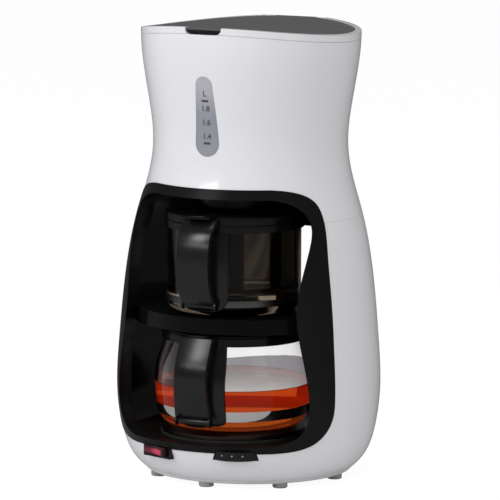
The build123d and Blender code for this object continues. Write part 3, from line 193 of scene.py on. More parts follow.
def rounded(outline: Sequence[Side], steps: int = 5) -> list[Point2]:
    """Round the corners of a closed outline.

    Args:
        outline: corner points, each with the radius of its rounding.
        steps: the pieces that each rounding is cut into.

    Returns:
        The rounded outline's points.
    """
    rounded_points: list[Point2] = []
    count = len(outline)
    for i, (x, z, radius) in enumerate(outline):
        here = Vector((x, z))
        back = Vector(outline[i - 1][:2]) - here
        ahead = Vector(outline[(i + 1) % count][:2]) - here
        if radius <= 0 or back.length == 0 or ahead.length == 0:
            rounded_points.append((x, z))
            continue
        turn = math.pi - back.angle(ahead)
        reach = min(radius * math.tan(turn / 2), 0.49 * back.length, 0.49 * ahead.length)
        start, end = here + back.normalized() * reach, here + ahead.normalized() * reach
        for step in range(steps + 1):
            t = step / steps
            spot = start * (1 - t) ** 2 + here * (2 * t * (1 - t)) + end * t * t
            rounded_points.append((spot.x, spot.y))
    return rounded_points


# ------------------------------------------------------------------ meshes
class Cut(Enum):
    """How one solid works on another."""

    AWAY = "DIFFERENCE"
    KEEP = "INTERSECT"
    JOIN = "UNION"


def new_object(name: str, data: bpy.types.ID) -> bpy.types.Object:
    """Put a mesh, text, lamp or camera into the scene as an object at the origin.

    Args:
        name: the object's name.
        data: the mesh, text, lamp or camera.

    Returns:
        The object.
    """
    made = bpy.data.objects.new(name, data)
    bpy.context.scene.collection.objects.link(made)
    return made


def from_faces(
    name: str, verts: Iterable[Sequence[float]], faces: Iterable[Sequence[int]]
) -> bpy.types.Object:
    """Make an object from points in millimetres and faces.

    Args:
        name: the object's name.
        verts: the points.
        faces: the corners of each face.

    Returns:
        The object, with its faces pointing outwards.
    """
    mesh = bpy.data.meshes.new(name)
    mesh.from_pydata([[c * MM for c in v] for v in verts], [], [list(f) for f in faces])
    work = bmesh.new()
    work.from_mesh(mesh)
    bmesh.ops.remove_doubles(work, verts=work.verts, dist=1e-6)
    bmesh.ops.recalc_face_normals(work, faces=work.faces)
    work.to_mesh(mesh)
    work.free()
    return new_object(name, mesh)


def evaluated(piece: bpy.types.Object) -> bpy.types.Mesh:
    """Mesh of an object with its modifiers applied."""
    return bpy.data.meshes.new_from_object(piece.evaluated_get(bpy.context.evaluated_depsgraph_get()))


def turned(
    name: str, outline: Sequence[Point2], segments: int = 160, x: float = 0.0, y: float = 0.0
) -> bpy.types.Object:
    """Turn a closed outline about an upright axis.

    Args:
        name: the object's name.
        outline: radius and height of each point, in millimetres.
        segments: the steps around the axis.
        x: where the axis stands, across.
        y: where the axis stands, in depth.

    Returns:
        The closed solid.
    """
    verts: list[tuple[float, float, float]] = []
    rows: list[list[int]] = []
    for radius, height in outline:
        if radius < 1e-5:
            rows.append([len(verts)])
            verts.append((x, y, height))
            continue
        rows.append(list(range(len(verts), len(verts) + segments)))
        for i in range(segments):
            angle = 2 * math.pi * i / segments
            verts.append((x + radius * math.sin(angle), y - radius * math.cos(angle), height))
    faces: list[list[int]] = []
    for row, after in zip(rows, rows[1:] + rows[:1]):
        if len(row) == 1 and len(after) == 1:
            continue
        for i in range(segments):
            j = (i + 1) % segments
            corners = [row[i % len(row)], row[j % len(row)], after[j % len(after)], after[i % len(after)]]
            faces.append(list(dict.fromkeys(corners)))
    return from_faces(name, verts, faces)


def drawn_out(
    name: str, outline: Sequence[Point2], start: float, end: float, place: Matrix | None = None
) -> bpy.types.Object:
    """Draw a closed outline in X and Z out along Y.

    Args:
        name: the object's name.
        outline: the outline's points, in millimetres.
        start: where the solid starts along Y.
        end: where it ends.
        place: a matrix in millimetres that turns and moves the result.

    Returns:
        The closed solid.
    """
    count = len(outline)
    verts = [(x, start, z) for x, z in outline] + [(x, end, z) for x, z in outline]
    faces = [list(range(count)), list(range(2 * count - 1, count - 1, -1))]
    faces += [[i, (i + 1) % count, count + (i + 1) % count, count + i] for i in range(count)]
    if place is not None:
        verts = [tuple(place @ Vector(v)) for v in verts]
    return from_faces(name, verts, faces)


def block(
    name: str, low: Sequence[float], high: Sequence[float], place: Matrix | None = None
) -> bpy.types.Object:
    """Box between two corners, in millimetres, for cutting other solids."""
    return drawn_out(name, oblong(low[0], high[0], low[2], high[2]), low[1], high[1], place)


def carve(target: bpy.types.Object, tool: bpy.types.Object, cut: Cut = Cut.AWAY) -> None:
    """Cut, trim or join a solid with another one.

    Args:
        target: the solid that changes.
        tool: the solid that works on it, which is used up.
        cut: what the tool does.
    """
    modifier = target.modifiers.new("carve", "BOOLEAN")
    modifier.operation = cut.value
    modifier.object = tool
    modifier.solver = "MANIFOLD"
    mesh = evaluated(target)
    target.modifiers.clear()
    if not mesh.polygons:
        raise ValueError(f"{target.name}: nothing is left after {tool.name}")
    target.data = mesh
    bpy.data.objects.remove(tool)


def smooth(piece: bpy.types.Object, angle: float = 32.0) -> bpy.types.Object:
    """Shade a piece smooth, with edges sharper than the angle kept.

    Args:
        piece: the piece.
        angle: the sharpest turn that is shaded round, in degrees.

    Returns:
        The same piece.
    """
    piece.data.polygons.foreach_set("use_smooth", [True] * len(piece.data.polygons))
    piece.data.set_sharp_from_angle(angle=math.radians(angle))
    return piece


def exact_normals(piece: bpy.types.Object, radii: "Silhouette", offsets: Sequence[float]) -> None:
    """Give the turned surfaces of a carved piece the normals of their true curve.

    Args:
        piece: the carved piece, turned about the body's axis.
        radii: the curve that it was turned from.
        offsets: how far inside the curve each turned surface lies, in millimetres.
    """
    on_surface, least_facing = 0.06, 0.93
    smooth(piece)
    mesh = piece.data
    spots = np.zeros(len(mesh.vertices) * 3)
    mesh.vertices.foreach_get("co", spots)
    spots = spots.reshape(-1, 3) / MM
    across = spots[:, :2]
    reach = np.linalg.norm(across, axis=1)
    curve, slope = radii.at(spots[:, 2])
    close = np.zeros(len(spots), bool)
    for offset in offsets:
        close |= np.abs(reach - (curve - offset)) < on_surface
    flat = np.where(reach[:, None] > 1e-6, across / np.maximum(reach, 1e-6)[:, None], 0)
    outwards = np.column_stack([flat, -slope])
    outwards /= np.linalg.norm(outwards, axis=1)[:, None]
    corner_vertex = np.zeros(len(mesh.loops), int)
    mesh.loops.foreach_get("vertex_index", corner_vertex)
    face_of = np.repeat(np.arange(len(mesh.polygons)), [p.loop_total for p in mesh.polygons])
    facing = np.zeros(len(mesh.polygons) * 3)
    mesh.polygons.foreach_get("normal", facing)
    facing = facing.reshape(-1, 3)[face_of]
    wanted = outwards[corner_vertex]
    along = np.sum(facing * wanted, axis=1)
    usable = close[corner_vertex] & (np.abs(along) > least_facing)
    normals = np.where(usable[:, None], wanted * np.sign(along)[:, None], 0.0)
    mesh.normals_split_custom_set(normals.tolist())


def set_in(pieces: Sequence[bpy.types.Object], name: str) -> bpy.types.Object:
    """Make one object of several that belong together.

    Args:
        pieces: the objects.
        name: the name of the whole.

    Returns:
        The joined object.
    """
    work = bmesh.new()
    for piece in pieces:
        work.from_mesh(piece.data)
    mesh = bpy.data.meshes.new(name)
    work.to_mesh(mesh)
    work.free()
    for piece in pieces:
        bpy.data.objects.remove(piece)
    return smooth(new_object(name, mesh))


def soften(piece: bpy.types.Object, width: float, segments: int = 2, angle: float = 40.0) -> bpy.types.Object:
    """Round the sharp edges of a piece.

    Args:
        piece: the piece.
        width: the width of the rounding, in millimetres.
        segments: the steps across the rounding.
        angle: the least turn that counts as an edge, in degrees.

    Returns:
        The same piece, with the rounding in its mesh.
    """
    modifier = piece.modifiers.new("soften", "BEVEL")
    modifier.width = width * MM
    modifier.segments = segments
    modifier.limit_method = "ANGLE"
    modifier.angle_limit = math.radians(angle)
    modifier.use_clamp_overlap = True
    mesh = evaluated(piece)
    piece.modifiers.clear()
    piece.data = mesh
    return smooth(piece)


# ------------------------------------------------------------------ finishes
class Board:
    """Places and joins the nodes of one shader or geometry tree."""

    def __init__(self, tree: bpy.types.NodeTree, prefix: str = "ShaderNode") -> None:
        """Start on an empty tree.

        Args:
            tree: the tree.
            prefix: what the types of its nodes start with.
        """
        self.tree = tree
        self.prefix = prefix
        tree.nodes.clear()

    def add(self, kind: str, *fed: tuple[str | int, object], **values: object) -> bpy.types.Node:
        """Add a node and fill its inputs.

        Args:
            kind: the node's type, without its prefix.
            fed: pairs of an input's name or number and the socket or value that it gets.
            values: attributes of the node, or input values by name with spaces as underscores.

        Returns:
            The node.
        """
        node = self.tree.nodes.new(self.prefix + kind)
        for key, value in values.items():
            if hasattr(node, key):
                setattr(node, key, value)
            else:
                node.inputs[key.replace("_", " ")].default_value = value
        for key, source in fed:
            self.feed(source, node.inputs[key])
        return node

    def feed(self, source: object, socket: bpy.types.NodeSocket) -> None:
        """Lead a socket or a value into an input.

        Args:
            source: the socket or the value.
            socket: the input.
        """
        if isinstance(source, bpy.types.NodeSocket):
            self.tree.links.new(source, socket)
        else:
            socket.default_value = source

    def mix(self, share: bpy.types.NodeSocket, first: bpy.types.Node, last: bpy.types.Node) -> bpy.types.Node:
        """Mix two shaders by a share."""
        return self.add("MixShader", (0, share), (1, first.outputs[0]), (2, last.outputs[0]))


class Effect(Board):
    """Shader group with named sockets that several finishes share."""

    def __init__(self, name: str, **inputs: object) -> None:
        """Start a group with a place and one input for each default value.

        Args:
            name: the group's name.
            inputs: the default value of each input, by name.
        """
        super().__init__(bpy.data.node_groups.new(name, "ShaderNodeTree"))
        self.socket("Place", "Vector", "INPUT")
        for title, value in inputs.items():
            kind = "Float" if isinstance(value, float) else "Color"
            self.socket(title, kind, "INPUT").default_value = value
        self.given = self.tree.nodes.new("NodeGroupInput").outputs

    def socket(self, title: str, kind: str, side: str) -> bpy.types.NodeTreeInterfaceSocket:
        """Add a socket to the group's outside."""
        return self.tree.interface.new_socket(title, in_out=side, socket_type="NodeSocket" + kind)

    def cloud(self, scale: str, **values: float) -> bpy.types.NodeSocket:
        """Noise at the given place, whose scale is one of the group's inputs."""
        noise = self.add("TexNoise", ("Vector", self.given["Place"]), ("Scale", self.given[scale]), **values)
        return noise.outputs["Fac"]

    def close(self, title: str, kind: str, source: bpy.types.NodeSocket) -> bpy.types.NodeTree:
        """Lead the result to the group's only output, and return the group.

        Args:
            title: the output's name.
            kind: its type.
            source: the result.

        Returns:
            The group.
        """
        self.socket(title, kind, "OUTPUT")
        self.feed(source, self.tree.nodes.new("NodeGroupOutput").inputs[title])
        return self.tree


class Effects:
    """Surface effects that several finishes share, each built once."""

    @staticmethod
    @cache
    def moulding() -> bpy.types.NodeTree:
        """Fine skin of moulded plastic, as a height for bumps.

        Returns:
            The group.
        """
        skin, fine_share = Effect("moulded skin", Grain=900.0, Waves=14.0), 0.25
        fine = skin.cloud("Grain", Detail=2.0, Roughness=0.6)
        slow = skin.cloud("Waves", Detail=1.0, Roughness=0.4)
        height = skin.add("Math", (0, fine), (1, fine_share), (2, slow), operation="MULTIPLY_ADD")
        return skin.close("Height", "Float", height.outputs[0])

    @staticmethod
    @cache
    def handling() -> bpy.types.NodeTree:
        """Faint smears and dust that vary how rough a surface looks.

        Returns:
            The group.
        """
        marks, clean, smeared = Effect("handling marks", Least=0.1, Most=0.2, Size=22.0), 0.35, 0.72
        smears = marks.cloud("Size", Detail=5.0, Roughness=0.62, Distortion=0.6)
        spans = (clean, smeared, marks.given["Least"], marks.given["Most"])
        spread = marks.add("MapRange", ("Value", smears), *zip(RANGE_INPUTS, spans), clamp=True)
        return marks.close("Roughness", "Float", spread.outputs["Result"])

    @staticmethod
    @cache
    def drift() -> bpy.types.NodeTree:
        """Slow change between two close colours.

        Returns:
            The group.
        """
        white = (1.0, 1.0, 1.0, 1.0)
        tint = Effect("colour drift", Size=9.0, Light=white, Dark=white)
        share = tint.cloud("Size", Detail=3.0, Roughness=0.5)
        mix = tint.add("Mix", (0, share), (6, tint.given["Dark"]), (7, tint.given["Light"]), data_type="RGBA")
        return tint.close("Colour", "Color", mix.outputs[2])

    @staticmethod
    @cache
    def brushing() -> bpy.types.NodeTree:
        """Fine level scratches of brushed steel.

        Returns:
            The group.
        """
        lines, along = Effect("brushing", Fineness=900.0), (0.03, 0.03, 1.0)
        stretch = lines.add("VectorMath", (0, lines.given["Place"]), (1, along), operation="MULTIPLY")
        noise = lines.add(
            "TexNoise", ("Vector", stretch.outputs["Vector"]), ("Scale", lines.given["Fineness"]), Detail=3.0,
            Roughness=0.7)
        return lines.close("Height", "Float", noise.outputs["Fac"])


def shade_of(colour: Colour, share: float) -> tuple[float, float, float, float]:
    """Colour made lighter or darker by a share, with full opacity."""
    return tuple(min(1.0, c * share) for c in colour) + (1.0,)


class Surface(Board):
    """Board of one material, with its shader and the object's own coordinates."""

    def __init__(self, material: bpy.types.Material) -> None:
        """Start with the coordinates and the shader.

        Args:
            material: the material, which uses nodes.
        """
        super().__init__(material.node_tree)
        self.place = self.add("TexCoord").outputs["Object"]
        self.shader = self.add("BsdfPrincipled")

    def lead(self, sources: dict[str, object]) -> None:
        """Lead sockets or values to the shader, by the names of its inputs."""
        for title, source in sources.items():
            self.feed(source, self.shader.inputs[title])

    def effect(self, group: bpy.types.NodeTree, *fed: tuple[str | int, object]) -> bpy.types.NodeSocket:
        """Result of a shared effect at the object's coordinates."""
        return self.add("Group", ("Place", self.place), *fed, node_tree=group).outputs[0]

    def ramp(self, axis: str, span: tuple[float, float]) -> bpy.types.NodeSocket:
        """Value that rises smoothly from 0 to 1 along an axis of the object.

        Args:
            axis: X, Y or Z.
            span: where the rise starts and ends; it falls if the second is lower.

        Returns:
            The value.
        """
        along = self.add("SeparateXYZ", (0, self.place)).outputs[axis]
        ends = (0.0, 1.0) if span[0] < span[1] else (1.0, 0.0)
        spans = zip(RANGE_INPUTS, (*sorted(span), *ends))
        spread = self.add("MapRange", ("Value", along), *spans, clamp=True, interpolation_type="SMOOTHSTEP")
        return spread.outputs["Result"]

    def blend(self, share: bpy.types.NodeSocket, first: Colour, last: Colour) -> bpy.types.NodeSocket:
        """Mix of two colours by a share."""
        ends = (6, shade_of(first, 1.0)), (7, shade_of(last, 1.0))
        return self.add("Mix", (0, share), *ends, data_type="RGBA").outputs[2]


@dataclass(frozen=True)
class Finish:
    """Moulded plastic, and the base of every other finish."""

    name: str
    colour: Colour
    least_rough: float = 0.2
    most_rough: float = 0.3
    grain: float = 900.0
    bump: float = 0.08
    drift: float = 0.06
    coat: float = 0.0
    coat_rough: float = 0.05
    specular: float = 0.5
    through: float = 0.0
    ior: float = 1.5
    bump_depth: ClassVar[float] = 0.0004

    def material(self) -> bpy.types.Material:
        """Build the material, or return it if it exists.

        Returns:
            The material.
        """
        known = bpy.data.materials.get(self.name)
        if known is not None:
            return known
        made = bpy.data.materials.new(self.name)
        made.use_nodes = True
        surface = Surface(made)
        self.set_plain(surface)
        self.set_varied(surface)
        self.finish(surface)
        return made

    def set_plain(self, surface: Surface) -> None:
        """Set the values that are the same all over.

        Args:
            surface: the material's board.
        """
        surface.lead({
            "IOR": self.ior, "Specular IOR Level": self.specular, "Coat Weight": self.coat,
            "Coat Roughness": self.coat_rough, "Transmission Weight": self.through,
        })

    def set_varied(self, surface: Surface) -> None:
        """Add what changes over the surface: colour, roughness and skin.

        Args:
            surface: the material's board.
        """
        light, dark = shade_of(self.colour, 1 + self.drift), shade_of(self.colour, 1 - self.drift)
        tint = surface.effect(Effects.drift(), ("Light", light), ("Dark", dark))
        rough = surface.effect(Effects.handling(), ("Least", self.least_rough), ("Most", self.most_rough))
        relief = surface.effect(self.skin(), (1, self.grain))
        bump = surface.add("Bump", ("Height", relief), Strength=self.bump, Distance=self.bump_depth)
        surface.lead({"Base Color": tint, "Roughness": rough, "Normal": bump.outputs["Normal"]})

    def skin(self) -> bpy.types.NodeTree:
        """Group that gives the fine relief."""
        return Effects.moulding()

    def finish(self, surface: Surface) -> None:
        """Lead the shader to the output."""
        surface.add("OutputMaterial", ("Surface", surface.shader.outputs[0]))


@dataclass(frozen=True)
class Steel(Finish):
    """Brushed or plain metal."""

    anisotropy: float = 0.5

    def set_plain(self, surface: Surface) -> None:
        """Set the values that are the same all over."""
        super().set_plain(surface)
        surface.lead({"Metallic": 1.0, "Anisotropic": self.anisotropy})

    def skin(self) -> bpy.types.NodeTree:
        """Group that gives the brushed lines."""
        return Effects.brushing()


@dataclass(frozen=True)
class Clear(Finish):
    """Glass or clear plastic, which lets the lamps' light through."""

    mirror: float = 0.25

    def set_plain(self, surface: Surface) -> None:
        """Set the values that are the same all over."""
        super().set_plain(surface)
        surface.lead({"Specular Tint": (self.mirror, self.mirror, self.mirror, 1.0)})

    def finish(self, surface: Surface) -> None:
        """Let shadow rays pass with the glass's own tint.

        Args:
            surface: the material's board.
        """
        shadow = surface.add("LightPath").outputs["Is Shadow Ray"]
        pane = surface.add("BsdfTransparent", Color=shade_of(self.colour, 1.0))
        surface.add("OutputMaterial", ("Surface", surface.mix(shadow, surface.shader, pane).outputs[0]))


@dataclass(frozen=True)
class Brew(Clear):
    """Clear tea, with a painted glow below its surface in place of the light scattered in it."""

    # colours and heights of the painted glow below the tea's surface
    deep: Colour = (0.06, 0.014, 0.003)
    bright: Colour = (0.165, 0.007, 0.001)
    rise: tuple[float, float] = (0.058, 0.072)
    brim: tuple[float, float] = (0.0856, 0.0850)

    def set_varied(self, surface: Surface) -> None:
        """Add a painted glow in place of the scattered light, darker and browner towards the floor.

        Args:
            surface: the material's board.
        """
        super().set_varied(surface)
        # painted glow: emission that is darker and browner low down, lit only below the tea's surface
        colour = surface.blend(surface.ramp("Z", self.rise), self.deep, self.bright)
        surface.lead({"Emission Color": colour, "Emission Strength": surface.ramp("Z", self.brim)})


@dataclass(frozen=True)
class Fading(Finish):
    """Moulded plastic whose colour changes with height."""

    above: Colour = (0.4, 0.4, 0.4)
    rise: tuple[float, float] = (0.318, 0.352)

    def set_varied(self, surface: Surface) -> None:
        """Blend the finish's colour into the one above."""
        super().set_varied(surface)
        surface.lead({"Base Color": surface.blend(surface.ramp("Z", self.rise), self.colour, self.above)})


@dataclass(frozen=True)
class Glow(Finish):
    """Lens lit from inside in one level band, brighter towards one end."""

    light: Colour = (1.0, 0.08, 0.19)
    far: Colour = (0.2, 0.03, 0.055)
    strength: float = 0.5
    run: tuple[float, float] = (-0.046, -0.0385)
    right_edge: tuple[float, float] = (-0.0302, -0.0320)
    low_edge: tuple[float, float] = (0.0274, 0.0296)
    high_edge: tuple[float, float] = (0.0338, 0.0318)

    def set_varied(self, surface: Surface) -> None:
        """Add the lamp's light behind the lens.

        Args:
            surface: the material's board.
        """
        super().set_varied(surface)
        colour, power = surface.blend(surface.ramp("X", self.run), self.far, self.light), self.strength
        for axis, span in (("Z", self.low_edge), ("Z", self.high_edge), ("X", self.right_edge)):
            edge = surface.ramp(axis, span)
            power = surface.add("Math", (0, edge), (1, power), operation="MULTIPLY").outputs[0]
        surface.lead({"Emission Color": colour, "Emission Strength": power})


# Name, colour, least and most roughness, fineness of the grain, bump, drift of the colour; then, if it
# is coated, the coat and its roughness
WHITE = Finish("white_gloss_shell", (0.72, 0.715, 0.735), 0.12, 0.18, 700.0, 0.02, 0.01, 0.35, 0.03)
BASE_WHITE = Finish("white_satin_base", (0.66, 0.655, 0.67), 0.35, 0.45, 700.0, 0.06, 0.02)
BEZEL_BLACK = Finish(
    "black_satin_bezel", (0.0065, 0.0062, 0.0062), 0.3, 0.4, 1500.0, 0.08, 0.05, specular=0.16)
WALL_BLACK = Finish("black_gloss_wall", (0.0035, 0.0033, 0.0033), 0.1, 0.2, 500.0, 0.04, 0.05, specular=0.1)
FLOOR_BLACK = Finish("black_bay_floor", (0.008, 0.0045, 0.004), 0.16, 0.28, 500.0, 0.04, 0.1, specular=0.12)
HANDLE_BLACK = Finish("black_handle", (0.0065, 0.0065, 0.007), 0.2, 0.28, 1200.0, 0.08, 0.05, specular=0.36)
LID_BLACK = Finish("black_carafe_lid", (0.004, 0.004, 0.0042), 0.16, 0.24, 1000.0, 0.06, 0.05, specular=0.18)
LID_GREY = Finish("grey_tank_lid", (0.092, 0.086, 0.087), 0.2, 0.3, 600.0, 0.05, 0.04, specular=0.4)
GRIP_BLACK = Finish("black_lid_grip", (0.008, 0.008, 0.009), 0.3, 0.4, 900.0, 0.08, 0.05, specular=0.2)
PRINT_GREY = Finish("grey_print", (0.045, 0.047, 0.055), 0.5, 0.6, 900.0, 0.03, 0.03)
DOT_WHITE = Finish("white_dot", (0.25, 0.25, 0.25), 0.4, 0.5, 900.0, 0.03, 0.03)
NATURAL = Finish("natural_plastic", (0.62, 0.63, 0.63), 0.3, 0.4, 900.0, 0.05, 0.03)
VALVE_BLACK = Finish("black_valve", (0.02, 0.02, 0.021), 0.35, 0.45, 900.0, 0.08, 0.05, specular=0.3)
BASKET_BLACK = Finish("black_basket", (0.02, 0.019, 0.018), 0.3, 0.4, 900.0, 0.06, 0.06, specular=0.25)
SWITCH_BLACK = Finish(
    "black_switch_frame", (0.006, 0.006, 0.006), 0.25, 0.35, 900.0, 0.06, 0.05, specular=0.25)
RUBBER_GREY = Finish("grey_rubber", (0.30, 0.30, 0.30), 0.6, 0.75, 1800.0, 0.15, 0.06)
RUBBER_BLACK = Finish("black_rubber", (0.02, 0.02, 0.02), 0.55, 0.7, 1800.0, 0.15, 0.06)
BOARD_GREEN = Finish("green_board", (0.02, 0.14, 0.05), 0.4, 0.5, 900.0, 0.1, 0.1)
BAND_STEEL = Steel("polished_band", (0.75, 0.73, 0.72), 0.05, 0.1, 1400.0, 0.03, 0.03, anisotropy=0.2)
# painted shade: a darker, rougher copy of the band steel, for the upper carafe's band deep in the bay
BAND_PAINTED_SHADE = Steel("painted_shade_band", (0.14, 0.135, 0.13), 0.3, 0.5, 1400.0, 0.25, 0.25)
SCREW_BLACK = Steel("blackened_screw", (0.05, 0.05, 0.052), 0.3, 0.45, 900.0, 0.05, 0.05, anisotropy=0.0)
PLATE_STEEL = Steel("dark_plate", (0.07, 0.055, 0.05), 0.26, 0.38, 900.0, 0.10, 0.08)
MESH_STEEL = Steel("woven_wire", (0.22, 0.205, 0.18), 0.34, 0.46, 900.0, 0.05, 0.15, anisotropy=0.0)
PLAIN_STEEL = Steel("plain_steel", (0.55, 0.55, 0.55), 0.2, 0.3, 900.0, 0.05, 0.05, anisotropy=0.0)
CAST_METAL = Steel("cast_aluminium", (0.5, 0.5, 0.51), 0.45, 0.6, 300.0, 0.3, 0.08, anisotropy=0.0)
GLASS = Clear("carafe_glass", (0.93, 0.935, 0.93), 0.0, 0.02, 60.0, 0.01, 0.0, through=1.0, ior=1.47)
# tea with a painted glow below its surface, in place of the light scattered in it
TEA = Brew("brewed_tea", (0.27, 0.046, 0.006), 0.0, 0.01, 40.0, 0.01, 0.05, through=1.0, ior=1.34, mirror=0.2)
# glass tinted grey-brown, which darkens what is seen through the upper carafe
GREYED_GLASS = Clear("greyed_glass", (0.78, 0.76, 0.74), 0.0, 0.02, 60.0, 0.01, 0.0, through=1.0, ior=1.47)
STRONG_TEA = Clear(
    "strong_tea", (0.30, 0.25, 0.20), 0.0, 0.01, 40.0, 0.01, 0.05, through=1.0, ior=1.34, mirror=0.2)
GAUGE_GREY = Fading(
    "smoke_grey_gauge", (0.25, 0.26, 0.29), 0.25, 0.32, 600.0, 0.02, 0.02, 0.2, above=(0.39, 0.395, 0.42))
RED_LENS = Glow("lit_red_lens", (0.02, 0.004, 0.006), 0.2, 0.3, 900.0, 0.04, 0.05, specular=0.25)


def dress(piece: bpy.types.Object, finish: Finish) -> None:
    """Give a piece one finish all over.

    Args:
        piece: the piece.
        finish: its finish.
    """
    made = finish.material()
    if piece.data.materials:
        for i in range(len(piece.data.materials)):
            piece.data.materials[i] = made
    else:
        piece.data.materials.append(made)


def place(
    piece: bpy.types.Object, finish: Finish, body: str, slot: str, stands_for: Sequence[str] = ()
) -> bpy.types.Object:
    """Finish a piece and set it on the body that carries it.

    Args:
        piece: the piece.
        finish: its finish.
        body: the body that it moves with.
        slot: the record's material slot of that finish.
        stands_for: the frame's nodes that it is seen in place of.

    Returns:
        The same piece.
    """
    dress(piece, finish)
    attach(piece, body)
    if stands_for:
        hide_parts(*stands_for)
    LOG.info("placed %s on %s", piece.name, body)
    return piece


# ------------------------------------------------------------------ what repeats
class Pattern(Board):
    """Geometry tree of something that repeats, with its sizes as named inputs."""

    def __init__(self, name: str, sizes: dict[str, float | int]) -> None:
        """Start a tree with one input for each size, in metres, radians or counts.

        Args:
            name: the tree's name.
            sizes: its sizes by name, in metres, radians or counts.
        """
        super().__init__(bpy.data.node_groups.new(name, "GeometryNodeTree"), "GeometryNode")
        self.tree.interface.new_socket("Geometry", in_out="OUTPUT", socket_type="NodeSocketGeometry")
        self.values: dict[str, float | int] = {}
        for title, value in sizes.items():
            kind = "NodeSocketInt" if isinstance(value, int) else "NodeSocketFloat"
            socket = self.tree.interface.new_socket(title, in_out="INPUT", socket_type=kind)
            socket.default_value = value
            self.values[socket.identifier] = value
        self.given = self.tree.nodes.new("NodeGroupInput").outputs

    def sum(self, operation: str, *terms: object) -> bpy.types.NodeSocket:
        """Result of one step of arithmetic on sockets or numbers.

        Args:
            operation: what is worked out.
            terms: sockets or numbers.

        Returns:
            The result.
        """
        made = self.tree.nodes.new("ShaderNodeMath")
        made.operation = operation
        for term, socket in zip(terms, made.inputs):
            self.feed(term, socket)
        return made.outputs[0]

    def spot(self, x: object, y: object, z: object) -> bpy.types.NodeSocket:
        """Point or size from three sockets or numbers.

        Args:
            x: the part across.
            y: the part in depth.
            z: the part in height.

        Returns:
            The point.
        """
        made = self.tree.nodes.new("ShaderNodeCombineXYZ")
        for term, socket in zip((x, y, z), made.inputs):
            self.feed(term, socket)
        return made.outputs[0]

    def bake(self, name: str, finish: Finish, *parts: bpy.types.NodeSocket) -> bpy.types.Object:
        """Close the tree, run it and keep its result as a plain mesh.

        Args:
            name: the name of the piece.
            finish: its finish.
            parts: the geometry that it is made of.

        Returns:
            The piece.
        """
        both = self.add("JoinGeometry", *((0, part) for part in parts))
        real = self.add("RealizeInstances", ("Geometry", both.outputs[0]))
        paint = self.add("SetMaterial", ("Geometry", real.outputs[0]), ("Material", finish.material()))
        self.feed(paint.outputs[0], self.tree.nodes.new("NodeGroupOutput").inputs[0])
        carrier = new_object(name, bpy.data.meshes.new(name))
        modifier = carrier.modifiers.new("pattern", "NODES")
        modifier.node_group = self.tree
        for identifier, value in self.values.items():
            modifier[identifier] = value
        mesh = evaluated(carrier)
        carrier.modifiers.clear()
        carrier.data = mesh
        return carrier


# ------------------------------------------------------------------ the round body
class Silhouette:
    """Outer outline of the round body, or of any turned form."""

    def __init__(self, points: Sequence[Point2], steps: int = 24) -> None:
        """Sample a smooth outline through points of radius and height.

        Args:
            points: radius and height of each point, from the lowest up.
            steps: the pieces that each span is cut into.
        """
        curve = np.array(spline_through(points, steps))
        order = np.argsort(curve[:, 1])
        self.heights, self.radii = curve[order, 1], curve[order, 0]
        self.slopes = np.gradient(self.radii, self.heights)

    def at(self, heights: np.ndarray) -> tuple[np.ndarray, np.ndarray]:
        """Radius and its slope at each height."""
        return np.interp(heights, self.heights, self.radii), np.interp(heights, self.heights, self.slopes)

    def radius(self, height: float) -> float:
        """Radius at one height."""
        return float(np.interp(height, self.heights, self.radii))

    def strip(self, low: float, high: float, inset: float = 0.0, rows: int = 40) -> list[Point2]:
        """Points of the outline from one height to another, moved inwards."""
        heights = [low + (high - low) * i / rows for i in range(rows + 1)]
        return [(self.radius(z) - inset, z) for z in heights]


